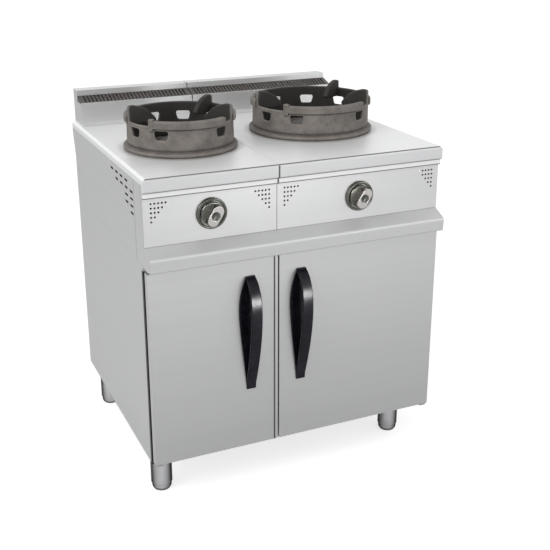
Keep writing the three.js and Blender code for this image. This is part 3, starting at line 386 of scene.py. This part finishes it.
def fillet(points, radii, steps=4):
    """A closed 2-D outline with its corners rounded."""
    made, count = [], len(points)
    for i, point in enumerate(points):
        radius = radii[i] if isinstance(radii, (list, tuple)) else radii
        here = Vector(point)
        if radius <= 0:
            made.append(here)
            continue
        back, ahead = Vector(points[i - 1]) - here, Vector(points[(i + 1) % count]) - here
        half = back.angle(ahead) / 2
        if half > math.pi / 2 - 0.01:
            made.append(here)
            continue
        reach = min(radius / math.tan(half), 0.49 * back.length, 0.49 * ahead.length)
        radius = reach * math.tan(half)
        inward = (back.normalized() + ahead.normalized()).normalized()
        centre = here + inward * (radius / math.sin(half))
        start, end = (here + side.normalized() * reach - centre for side in (back, ahead))
        turn = math.atan2(start.x * end.y - start.y * end.x, start.dot(end))
        first = math.atan2(start.y, start.x)
        for k in range(steps + 1):
            angle = first + turn * k / steps
            made.append(centre + radius * Vector((math.cos(angle), math.sin(angle))))
    return made


def rounded(table, steps=4):
    """An outline from rows of two coordinates and a corner radius."""
    return fillet([row[:2] for row in table], [row[2] for row in table], steps)


def new_object(name, bm):
    bmesh.ops.recalc_face_normals(bm, faces=bm.faces)
    mesh = bpy.data.meshes.new(name)
    bm.to_mesh(mesh)
    bm.free()
    made = bpy.data.objects.new(name, mesh)
    bpy.context.scene.collection.objects.link(made)
    return made


def turned(bm, profile, place, segments=96):
    """Turns an (r, height) outline about an axis; place(r, angle, height) gives the point."""
    rows = []
    for s in range(segments):
        angle = 2 * math.pi * s / segments
        rows.append([bm.verts.new(place(p[0], angle, p[1])) for p in profile])
    for s in range(segments):
        a, b = rows[s], rows[(s + 1) % segments]
        for i in range(len(profile)):
            j = (i + 1) % len(profile)
            bm.faces.new((a[i], b[i], b[j], a[j]))
    bmesh.ops.remove_doubles(bm, verts=bm.verts, dist=1e-6)


def upright(x, y):
    return lambda r, angle, z: metres(x + r * math.cos(angle), y + r * math.sin(angle), z)


def forward(x, z, y0):
    """For turning about an axis along y: the height is the depth in front of y0."""
    return lambda r, angle, depth: metres(
        x + r * math.cos(angle), y0 - depth, z + r * math.sin(angle)
    )


def prism(bm, outline, low, high, place):
    """A closed 2-D outline carried from low to high; place(u, v, w) gives the point."""
    ends = [[bm.verts.new(place(u, v, w)) for u, v in outline] for w in (low, high)]
    count = len(outline)
    for i in range(count):
        j = (i + 1) % count
        bm.faces.new((ends[0][i], ends[0][j], ends[1][j], ends[1][i]))
    bm.faces.new(ends[0])
    bm.faces.new(ends[1])


def soften(bm, edges, radius, segments):
    if edges:
        bmesh.ops.bevel(
            bm, geom=edges, offset=radius * MM, offset_type="OFFSET", segments=segments,
            profile=0.5, affect="EDGES", clamp_overlap=True, loop_slide=True,
        )


def sharp_edges(bm, degrees):
    limit = math.radians(degrees)
    return [e for e in bm.edges if len(e.link_faces) == 2 and e.calc_face_angle(0) > limit]


def at_depth(edges, y):
    """The edges that lie wholly at one depth."""
    return [e for e in edges if all(abs(layout(v.co).y - y) < 0.05 for v in e.verts)]


def line(axis, **fixed):
    """Picks the edges along an axis that lie at the given layout coordinates."""
    run = "xyz".index(axis)
    held = {"xyz".index(key): value for key, value in fixed.items()}
    shortest, skew, near = 1, 0.2, 0.35

    def picks(a, b):
        across = [abs(b[i] - a[i]) for i in range(3) if i != run]
        placed = all(abs(a[i] - v) < near for i, v in held.items())
        return (b - a).length > shortest and max(across) < skew and placed

    return picks


def bake(made):
    """Puts the result of an object's modifiers into its mesh."""
    evaluated = made.evaluated_get(bpy.context.evaluated_depsgraph_get())
    shaped = bpy.data.meshes.new_from_object(evaluated)
    made.modifiers.clear()
    made.data = shaped


def boolean(made, other, operation="DIFFERENCE"):
    modifier = made.modifiers.new(operation, "BOOLEAN")
    modifier.object, modifier.operation, modifier.solver = other, operation, "EXACT"
    bpy.context.view_layer.update()
    bake(made)
    bpy.data.objects.remove(other)


def smooth(made, degrees=32, weigh=True):
    made.data.shade_smooth()
    made.data.set_sharp_from_angle(angle=math.radians(degrees))
    if weigh:
        made.modifiers.new("even_normals", "WEIGHTED_NORMAL").keep_sharp = True
    return made


def copy_of(node, rounds=(), edge=0.45, shortest=0.0):
    """A CAD node's shape with whole flat faces, bend radii and eased edges.

    rounds are (picks, radius, steps); edge is the easing of edges from a shortest length up.
    """
    mesh = frame["nodes"][node].data.copy()
    for name in ("custom_normal", "sharp_face", "sharp_edge"):
        if name in mesh.attributes:
            mesh.attributes.remove(mesh.attributes[name])
    bm = bmesh.new()
    bm.from_mesh(mesh)
    bpy.data.meshes.remove(mesh)
    bmesh.ops.remove_doubles(bm, verts=bm.verts, dist=MERGE)
    bmesh.ops.dissolve_limit(bm, angle_limit=math.radians(FLAT), verts=bm.verts, edges=bm.edges)
    for picks, radius, steps in rounds:
        found = [e for e in bm.edges if picks(*(layout(v.co) for v in e.verts))]
        soften(bm, found, radius, steps)
    eased = [e for e in sharp_edges(bm, EASED_ANGLE) if e.calc_length() >= shortest * MM]
    soften(bm, eased, edge, EASED_STEPS)
    return smooth(new_object(node + ".shape", bm))


def dress(made, paint, node):
    """Gives a piece its material in a slot of its own, hides the node that it stands for and puts
    the piece on that node's body.
    """
    made.data.materials.clear()
    made.data.materials.append(PAINTS[paint])
    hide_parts(node)
    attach(made, frame["nodes"][node]["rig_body"])


def refine(node, paint, **options):
    """Puts a refined copy of a CAD node in its place."""
    dress(copy_of(node, **options), paint, node)


# ---------- wok rings ----------

# Places round a ring are in degrees; rows are (outward from the foot's radius, height, corner).
WINDOWS = (32, 68, 104, 160, 196, 231, 300, 336)
WINDOW_HEIGHTS, WINDOW_HALVES, WINDOW_CORNER = (42, 65), (14.5, 20), 5
FINS = (35, 178, 325)
FIN_HALF = 6.5
RIM_GAPS = ((178, 219), (304, 325))
RIB = (218.5, 223.0)
RING_SEGMENTS = 144
RING_VOXEL = 0.0016
RING_PROFILE = (
    (-4, 0, 0.6), (0, 4, 1.5), (0, 8.5, 2.6), (-2, 10.5, 1.5), (-9, 12, 1.5), (-12.5, 15, 1.5),
    (-10, 20, 3), (-10, 66.5, 2), (-11, 70, 0.8), (-4, 71, 1.2), (-4, 87, 2), (-7, 90, 2.5),
    (-18, 90, 2.5), (-18, 21, 0), (-18, 10, 0), (-18, 0, 0.6),
)
FIN_PROFILE = (
    (-10, 72, 2), (-10, 108, 5), (-14, 112, 5), (-26, 113, 10), (-44, 109, 20), (-62, 100, 20),
    (-78, 84, 8), (-84, 76, 4), (-81, 68, 4), (-22, 66, 6),
)


def ring_windows(x, y, base):
    bm = bmesh.new()
    (low, high), (lower, upper) = WINDOW_HEIGHTS, WINDOW_HALVES
    corners = ((-lower, low), (lower, low), (upper, high), (-upper, high))
    outline = fillet([(u, TOP_Z + v) for u, v in corners], WINDOW_CORNER)
    for degrees in WINDOWS:
        c, s = math.cos(math.radians(degrees)), math.sin(math.radians(degrees))
        prism(
            bm, outline, base - 40, base + 20,
            lambda u, v, w: metres(x + w * c - u * s, y + w * s + u * c, v),
        )
    return new_object("windows", bm)


def sector(bm, x, y, degrees, radii, heights):
    """A block of the ring's circle between two angles, two radii and two heights."""
    start, end = (math.radians(d) for d in degrees)
    steps = max(2, round(math.degrees(end - start) / 3))
    sweep = [start + (end - start) * k / steps for k in range(steps + 1)]
    outline = [(radii[0] * math.cos(a), radii[0] * math.sin(a)) for a in sweep]
    outline += [(radii[1] * math.cos(a), radii[1] * math.sin(a)) for a in reversed(sweep)]
    low, high = (TOP_Z + height for height in heights)
    prism(bm, outline, low, high, lambda u, v, w: metres(x + u, y + v, w))


def rim_gaps(x, y, radii, heights):
    bm = bmesh.new()
    for degrees in RIM_GAPS:
        sector(bm, x, y, degrees, radii, heights)
    return new_object("gaps", bm)


def ring_fins(whole, x, y, base):
    for degrees in FINS:
        bm = bmesh.new()
        c, s = math.cos(math.radians(degrees)), math.sin(math.radians(degrees))
        outline = rounded([(base + out, TOP_Z + z, corner) for out, z, corner in FIN_PROFILE])
        prism(
            bm, outline, -FIN_HALF, FIN_HALF,
            lambda u, v, w: metres(x + u * c - w * s, y + u * s + w * c, v),
        )
        soften(bm, sharp_edges(bm, 60), 2.0, 3)
        bmesh.ops.recalc_face_normals(bm, faces=bm.faces)
        mesh = bpy.data.meshes.new("fin")
        bm.to_mesh(mesh)
        bm.free()
        whole.from_mesh(mesh)
        bpy.data.meshes.remove(mesh)


def wok_ring(side):
    """Wall, rib and fins become one casting in the remesh, so they need only overlap before it."""
    x, y, base = RINGS[side]
    profile = rounded([(base + out, z, corner) for out, z, corner in RING_PROFILE])
    bm = bmesh.new()
    turned(bm, [(r, TOP_Z + z) for r, z in profile], upright(x, y), RING_SEGMENTS)
    made = new_object(f"wok_ring_{side}.cast", bm)
    boolean(made, ring_windows(x, y, base))
    boolean(made, rim_gaps(x, y, (base - 10, base + 12), (65, 96)))
    boolean(made, rim_gaps(x, y, (base - 40, base + 12), (75, 96)))
    bm = bmesh.new()
    bm.from_mesh(made.data)
    sector(bm, x, y, RIB, (base - 17, base - 3), (65, 94))
    ring_fins(bm, x, y, base)
    bm.to_mesh(made.data)
    bm.free()
    remesh = made.modifiers.new("cast", "REMESH")
    remesh.mode, remesh.voxel_size = "VOXEL", RING_VOXEL
    soft = made.modifiers.new("soft", "SMOOTH")
    soft.factor, soft.iterations = 0.5, 3
    bpy.context.view_layer.update()
    bake(made)
    dress(smooth(made, 180, weigh=False), f"ring_{side}", f"wok_ring_{side}")


# ---------- knobs ----------

# Rows are (radius, depth in front of the panel, corner radius).
PANEL_Y = 11
BEZEL_PROFILE = (
    (31, 0.4, 0), (39, 0.4, 0.3), (39, 3.5, 1.6), (37.6, 6.2, 1.2), (35.4, 7, 1), (33.6, 6.6, 0.8),
    (32.4, 5.4, 0.4), (31.6, 5.8, 0.3), (31, 4.6, 0.3),
)
SKIRT_PROFILE = (
    (6, 5, 0), (29, 5, 0.4), (29, 8, 1.2), (27.6, 9.8, 1), (24, 10.2, 3), (20, 9.4, 3),
    (12, 8.8, 2), (6, 8.8, 0),
)
GRIP_WIDTH, GRIP_LENGTH, GRIP_TILT = 28, 53, 32
GRIP_BACK, GRIP_FRONT = 8, 33
GRIP_ROUND = 1.3
DIMPLE_RADIUS, DIMPLE_DEPTH = 10.8, 4.0
# The dark disc laid in the grip's dimple stands in for the dimple's shade: painted shade.
DOT_SHARE, DOT_LIFT, DOT_THICKNESS = 0.93, 0.35, 0.9


def dark_piece(name, side, bm, degrees):
    """A piece on a knob's body that is finished like the bezel."""
    made = smooth(new_object(name, bm), degrees)
    made.data.materials.append(PAINTS["gunmetal"])
    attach(made, f"knob_{side}")


def knob(side):
    x, z = KNOBS[side]
    front = forward(x, z, PANEL_Y)
    bm = bmesh.new()
    turned(bm, rounded(BEZEL_PROFILE), front)
    bezel = smooth(new_object(f"knob_bezel_{side}.ring", bm), 60)
    dress(bezel, "gunmetal", f"knob_bezel_{side}")
    bm = bmesh.new()
    turned(bm, rounded(SKIRT_PROFILE), front)
    dark_piece(f"knob_{side}.skirt", side, bm, 60)

    tilt = math.radians(GRIP_TILT)
    c, s = math.cos(tilt), math.sin(tilt)
    half, straight = GRIP_WIDTH / 2, (GRIP_LENGTH - GRIP_WIDTH) / 2
    arc = [math.pi * k / 14 for k in range(15)]
    outline = [(half * math.cos(a), straight + half * math.sin(a)) for a in arc]
    outline += [(-u, -v) for u, v in outline]

    def tilted(u, v, w):
        across, along = u * c + v * s, v * c - u * s
        return front(math.hypot(across, along), math.atan2(along, across), w)

    bm = bmesh.new()
    prism(bm, outline, GRIP_BACK, GRIP_FRONT, tilted)
    made = new_object(f"knob_{side}.grip", bm)

    ball = (DIMPLE_RADIUS**2 + DIMPLE_DEPTH**2) / (2 * DIMPLE_DEPTH)
    middle = GRIP_FRONT - DIMPLE_DEPTH + ball
    reach = math.asin(DIMPLE_RADIUS / ball)
    sweep = [reach * k / 8 for k in range(9)]
    bowl = [(ball * math.sin(a), middle - ball * math.cos(a)) for a in sweep]
    outside = GRIP_FRONT + 4
    bm = bmesh.new()
    turned(bm, [(0, outside)] + bowl + [(DIMPLE_RADIUS, outside)], front, 48)
    boolean(made, new_object("dimple", bm))
    # Painted shade: a thin dark disc, just above the dimple's surface, darkens the dimple.
    bm = bmesh.new()
    dot = [(r * DOT_SHARE, depth + DOT_LIFT) for r, depth in bowl]
    dot += [(r, depth - DOT_THICKNESS) for r, depth in reversed(dot[1:])]
    turned(bm, dot, front, 48)
    dark_piece(f"knob_{side}.dot", side, bm, 50)

    bm = bmesh.new()
    bm.from_mesh(made.data)
    bmesh.ops.remove_doubles(bm, verts=bm.verts, dist=1e-5)
    bmesh.ops.dissolve_limit(bm, angle_limit=math.radians(0.5), verts=bm.verts, edges=bm.edges)
    soften(bm, at_depth(sharp_edges(bm, 30), PANEL_Y - GRIP_FRONT), GRIP_ROUND, 4)
    bm.to_mesh(made.data)
    bm.free()
    dress(smooth(made, 40), "chrome", f"knob_{side}")


# ---------- handles ----------

# Curves are four control points each: (y, z) for the bow, (half width, z) for the leaf behind it.
BOW = (
    ((-1, 576), (-30, 566), (-46, 528), (-46, 480)),
    ((-46, 480), (-46, 410), (-22, 334), (-1, 268)),
)
BOW_STEPS = (18, 26)
BOW_HALF, BOW_HALF_SWELL = 12.5, 2.0
BOW_THICK, BOW_THICK_SWELL = 4.5, 2.8
BOW_CROWN = 0.9
BOW_CORNERS = (2.0, 2.0, 1.6, 1.6)
BOW_BACK = -0.6
LEAF = (
    ((12, 268), (16, 330), (31, 429), (31, 485)),
    ((31, 485), (31, 531), (18, 556), (12, 576)),
)
LEAF_STEPS = 16
LEAF_BACK, LEAF_FRONT, LEAF_ROUND = -0.4, -3.4, 1.3


def bezier(points, steps):
    """Points along a flat cubic curve, with the direction at each."""
    a, b, c, d = (Vector(p) for p in points)
    made = []
    for k in range(steps + 1):
        t = k / steps
        rest = 1 - t
        place = a * rest**3 + b * (3 * t * rest**2) + c * (3 * t * t * rest) + d * t**3
        slope = (b - a) * (3 * rest**2) + (c - b) * (6 * t * rest) + (d - c) * (3 * t * t)
        made.append((place, slope.normalized()))
    return made


def bow_section(x, point, slope, along):
    """The places round the bow where it is at a point; along runs from 0 to 1."""
    swell = math.sin(math.pi * along) ** 0.6 if 0 < along < 1 else 0.0
    half, thick = BOW_HALF + BOW_HALF_SWELL * swell, BOW_THICK + BOW_THICK_SWELL * swell
    inward = Vector((-slope.y, slope.x))
    if inward.x < 0:
        inward = -inward
    places = []
    for u, v in fillet([(-half, 0), (half, 0), (half, thick), (-half, thick)], BOW_CORNERS):
        crown = BOW_CROWN * (1 - (u / half) ** 2) * (1 - v / thick)
        at = point + inward * (v + BOW_CROWN - crown)
        places.append(metres(x + u, min(at.x, BOW_BACK), at.y))
    return places


def handle(side):
    x = HANDLES[side]
    path = bezier(BOW[0], BOW_STEPS[0]) + bezier(BOW[1], BOW_STEPS[1])[1:]
    bm = bmesh.new()
    rows = []
    for i, (point, slope) in enumerate(path):
        places = bow_section(x, point, slope, i / (len(path) - 1))
        rows.append([bm.verts.new(place) for place in places])
    count = len(rows[0])
    for a, b in zip(rows, rows[1:]):
        for i in range(count):
            j = (i + 1) % count
            bm.faces.new((a[i], a[j], b[j], b[i]))
    bm.faces.new(rows[0])
    bm.faces.new(rows[-1])
    made = new_object(f"handle_{side}.moulding", bm)

    edge = [LEAF[0][0]]
    for curve in LEAF:
        edge += [tuple(point) for point, _ in bezier(curve, LEAF_STEPS)[1:]]
    edge += [(-u, v) for u, v in reversed(edge)]
    bm = bmesh.new()
    prism(bm, edge, LEAF_BACK, LEAF_FRONT, lambda u, v, w: metres(x + u, w, v))
    soften(bm, at_depth(sharp_edges(bm, 50), LEAF_FRONT), LEAF_ROUND, 3)
    boolean(made, new_object("leaf", bm), "UNION")
    dress(smooth(made, 38), "black", f"handle_{side}")


# ---------- legs ----------

# Rows are (radius, height, corner radius).
SLEEVE_PROFILE = (
    (28, 10, 0.9), (28, 99.6, 1.2), (9, 99.6, 0.3), (9, 96, 0.3), (26, 96, 1.5), (26, 10, 0.9),
)
FOOT_PROFILE = (
    (0, -10, 0), (18.6, -10, 1.5), (21, -9.2, 2), (24.2, -5, 4), (25.8, 0, 3), (25.75, 4, 2),
    (25.75, 54, 1.2), (8, 56, 1), (8, 101.5, 0.6), (0, 101.5, 0),
)


def leg(corner):
    for part, name, profile in (
        ("leg_sleeve", "tube", SLEEVE_PROFILE),
        ("foot", "turned", FOOT_PROFILE),
    ):
        bm = bmesh.new()
        turned(bm, rounded(profile, steps=3), upright(*LEGS[corner]))
        node = f"{part}_{corner}"
        dress(smooth(new_object(f"{node}.{name}", bm), 50), "tube", node)


# ---------- build ----------

# Bends are (which edges, radius, steps).
NOSE = [
    (line("x", y=-5, z=850), 8.5, 7), (line("x", y=-3.5, z=848.5), 7.2, 7),
    (line("x", y=-5, z=817), 2.2, 4), (line("x", y=3, z=814), 1.5, 3),
    (line("x", y=3, z=800), 1.5, 3), (line("x", y=700, z=850), 3, 4),
]
RIM = {
    "left": [(line("y", x=-394, z=850), 3.9, 4), (line("y", x=-400, z=844), 3.9, 4)],
    "right": [(line("y", x=394, z=850), 3.9, 4), (line("y", x=400, z=844), 3.9, 4)],
}
LIP = [
    (line("x", y=-30, z=662), 5, 5), (line("x", y=-28, z=628), 3, 4),
    (line("x", y=11, z=681), 3, 4),
]
HOLED_SHEET = {"edge": 0.4, "shortest": 26}  # the edges of the small holes stay as they are

for side in SIDES:
    refine(f"worktop_{side}", "steel_top", rounds=NOSE + RIM[side])
    refine(f"fascia_{side}", "steel_x", **HOLED_SHEET)
    refine(f"upper_side_{side}", "steel_y", **HOLED_SHEET)
    refine(f"flue_{side}", "steel_flue", edge=0.4)
    refine(f"cabinet_side_{side}", "steel_side")
    refine(f"door_skin_{side}", "steel_door")
    for name in ("door_liner", "hinge_upper", "hinge_lower"):
        refine(f"{name}_{side}", "inner_x")
    refine(f"drip_bowl_{side}", f"bowl_{side}")
    refine(f"burner_{side}", "burner", edge=0.8)
    refine(f"burner_cap_{side}", "burner", edge=0.8)
    handle(side)
    knob(side)
    for name in ("pilot", "gas_valve", "valve_plug", "valve_stem", "burner_feed"):
        refine(f"{name}_{side}", "brass", edge=0.3)
    wok_ring(side)
for corner in CORNERS:
    leg(corner)
refine("apron", "steel_apron", rounds=LIP)
for name in ("upper_back", "burner_deck", "cabinet_back", "cabinet_floor"):
    refine(name, "inner_x")
for name in ("bulkhead", "cabinet_divider"):
    refine(name, "inner_y")
refine("gas_manifold", "pipe", edge=0.6)
refine("door_catch", "catch", edge=0.6)


# ---------- floor, light and camera ----------

MIRROR_RAYS = ("Is Glossy Ray", "Is Transmission Ray")
FLOOR_SIZE = 60
FLOOR_COLOUR = rgb(0.55)
FLOOR_SHOWN = 0.7  # what the camera sees added to the lit floor, so that only the shadow is grey
FLOOR_SPAN = (-3.0, 1.0)  # the y between which the stops of the mirrored floor lie
# Painted reflection: for mirror rays the floor glows, brightest far in front, not at all just in
# front of the range, a little behind it.
FLOOR_STOPS = ((0.1, 0.3), (0.52, 0.08), (0.62, 0.0), (0.72, 0.1), (1.0, 0.14))
ROOM_COLOUR = rgb(0.62, 0.625, 0.635)
ROOM_STOPS = ((0.38, 1.0), (0.9, 0.7))  # mirrored world, by how far up it is
ROOM_FRONT = {"From Min": -0.5, "From Max": 0.4, "To Min": 0.85, "To Max": 1.0}


def seen_by(tree, *rays):
    """1 for rays of the given kinds, 0 for others."""
    path = add_node(tree, "ShaderNodeLightPath")
    total = path.outputs[rays[0]]
    for ray in rays[1:]:
        added = add_node(tree, "ShaderNodeMath", {0: total, 1: path.outputs[ray]}, operation="ADD")
        total = added.outputs[0]
    return total


def ramp(tree, value, stops):
    """A grey for a value; stops are (value, grey)."""
    made = add_node(tree, "ShaderNodeValToRGB", {0: value})
    elements = made.color_ramp.elements
    for element, (position, grey) in zip(elements, (stops[0], stops[-1])):
        element.position, element.color = position, rgb(grey)
    for position, grey in stops[1:-1]:
        elements.new(position).color = rgb(grey)
    return made.outputs["Color"]


def split_place(tree, kind):
    where = add_node(tree, "ShaderNodeTexCoord").outputs[kind]
    return add_node(tree, "ShaderNodeSeparateXYZ", {0: where}).outputs


def pale_floor():
    bm = bmesh.new()
    bmesh.ops.create_grid(bm, x_segments=2, y_segments=2, size=FLOOR_SIZE)
    made = new_object("floor", bm)
    material = bpy.data.materials.new("pale_floor")
    material.use_nodes = True
    tree = material.node_tree
    shader = tree.nodes["Principled BSDF"]
    shader.inputs["Base Color"].default_value = FLOOR_COLOUR
    shader.inputs["Roughness"].default_value = 0.9
    shader.inputs["Specular IOR Level"].default_value = 0.1
    shader.inputs["Emission Color"].default_value = rgb(1)
    along = {"Value": split_place(tree, "Object")["Y"], "From Min": FLOOR_SPAN[0]}
    near = add_node(tree, "ShaderNodeMapRange", {**along, "From Max": FLOOR_SPAN[1]})
    mirrored = ramp(tree, near.outputs["Result"], FLOOR_STOPS)

    def maths(operation, a, b):
        return add_node(tree, "ShaderNodeMath", {0: a, 1: b}, operation=operation).outputs[0]

    shown = maths("MULTIPLY", seen_by(tree, "Is Camera Ray"), FLOOR_SHOWN)
    # The floor's uneven glow for mirror rays is a painted reflection.
    mirrored = maths("MULTIPLY", seen_by(tree, *MIRROR_RAYS), mirrored)
    tree.links.new(maths("ADD", shown, mirrored), shader.inputs["Emission Strength"])
    made.data.materials.append(material)


def world():
    made = bpy.data.worlds.new("studio")
    bpy.context.scene.world = made
    made.use_nodes = True
    tree = made.node_tree
    tree.nodes.clear()
    place = split_place(tree, "Generated")
    front = add_node(tree, "ShaderNodeMapRange", {"Value": place["Y"], **ROOM_FRONT})
    dimmed = add_node(
        tree, "ShaderNodeVectorMath",
        {0: ramp(tree, place["Z"], ROOM_STOPS), "Scale": front.outputs["Result"]},
        operation="SCALE",
    )
    room, seen, backdrop = (
        add_node(tree, "ShaderNodeBackground", {"Color": colour}).outputs[0]
        for colour in (ROOM_COLOUR, dimmed.outputs["Vector"], rgb(1))
    )
    mirrors = seen_by(tree, *MIRROR_RAYS)
    shiny = add_node(tree, "ShaderNodeMixShader", {0: mirrors, 1: room, 2: seen})
    final = add_node(
        tree, "ShaderNodeMixShader",
        {0: seen_by(tree, "Is Camera Ray"), 1: shiny.outputs[0], 2: backdrop},
    )
    add_node(tree, "ShaderNodeOutputWorld", {"Surface": final.outputs[0]})


def aimed(name, data, place, target):
    """Puts a lamp or camera in the scene, turned to a target."""
    made = bpy.data.objects.new(name, data)
    made.location = place
    made.rotation_euler = (Vector(target) - Vector(place)).to_track_quat("-Z", "Y").to_euler()
    bpy.context.scene.collection.objects.link(made)
    return made


def lamp(name, place, target, size, power):
    data = bpy.data.lights.new(name, "AREA")
    data.shape, data.size, data.size_y, data.energy = "RECTANGLE", size[0], size[1], power
    return aimed(name, data, place, target)


pale_floor()
world()
lamp("key", (-3.2, -1.6, 3.2), (0, 0, 0.6), (2.2, 2.2), 75)
lamp("fill", (3.0, -3.2, 2.4), (0, 0, 0.5), (2.5, 2.5), 25)
# The highlight on the bows of the handles comes from a lamp that lights nothing else.
glint = lamp("glint", (1.05, -3.3, 0.62), (0, -0.3, 0.5), (0.8, 0.75), 120)
handles = bpy.data.collections.new("glossy_handles")
for side in SIDES:
    handles.objects.link(bpy.data.objects[f"handle_{side}.moulding"])
glint.light_linking.receiver_collection = handles
# The strip stands in the same place, and is made after the glint so that the glint stays in front.
lamp("strip", (1.05, -3.3, 0.62), (0, -0.3, 0.5), (0.7, 0.5), 7)

data = bpy.data.cameras.new("camera")
data.lens, data.sensor_width, data.shift_y = 62.06, 36.0, -0.0545
camera = aimed("camera", data, (-0.9737, -2.3325, 1.4264), (0.0629, -0.026, 0.5409))
bpy.context.scene.camera = camera
bpy.context.scene.view_settings.view_transform = "Standard"
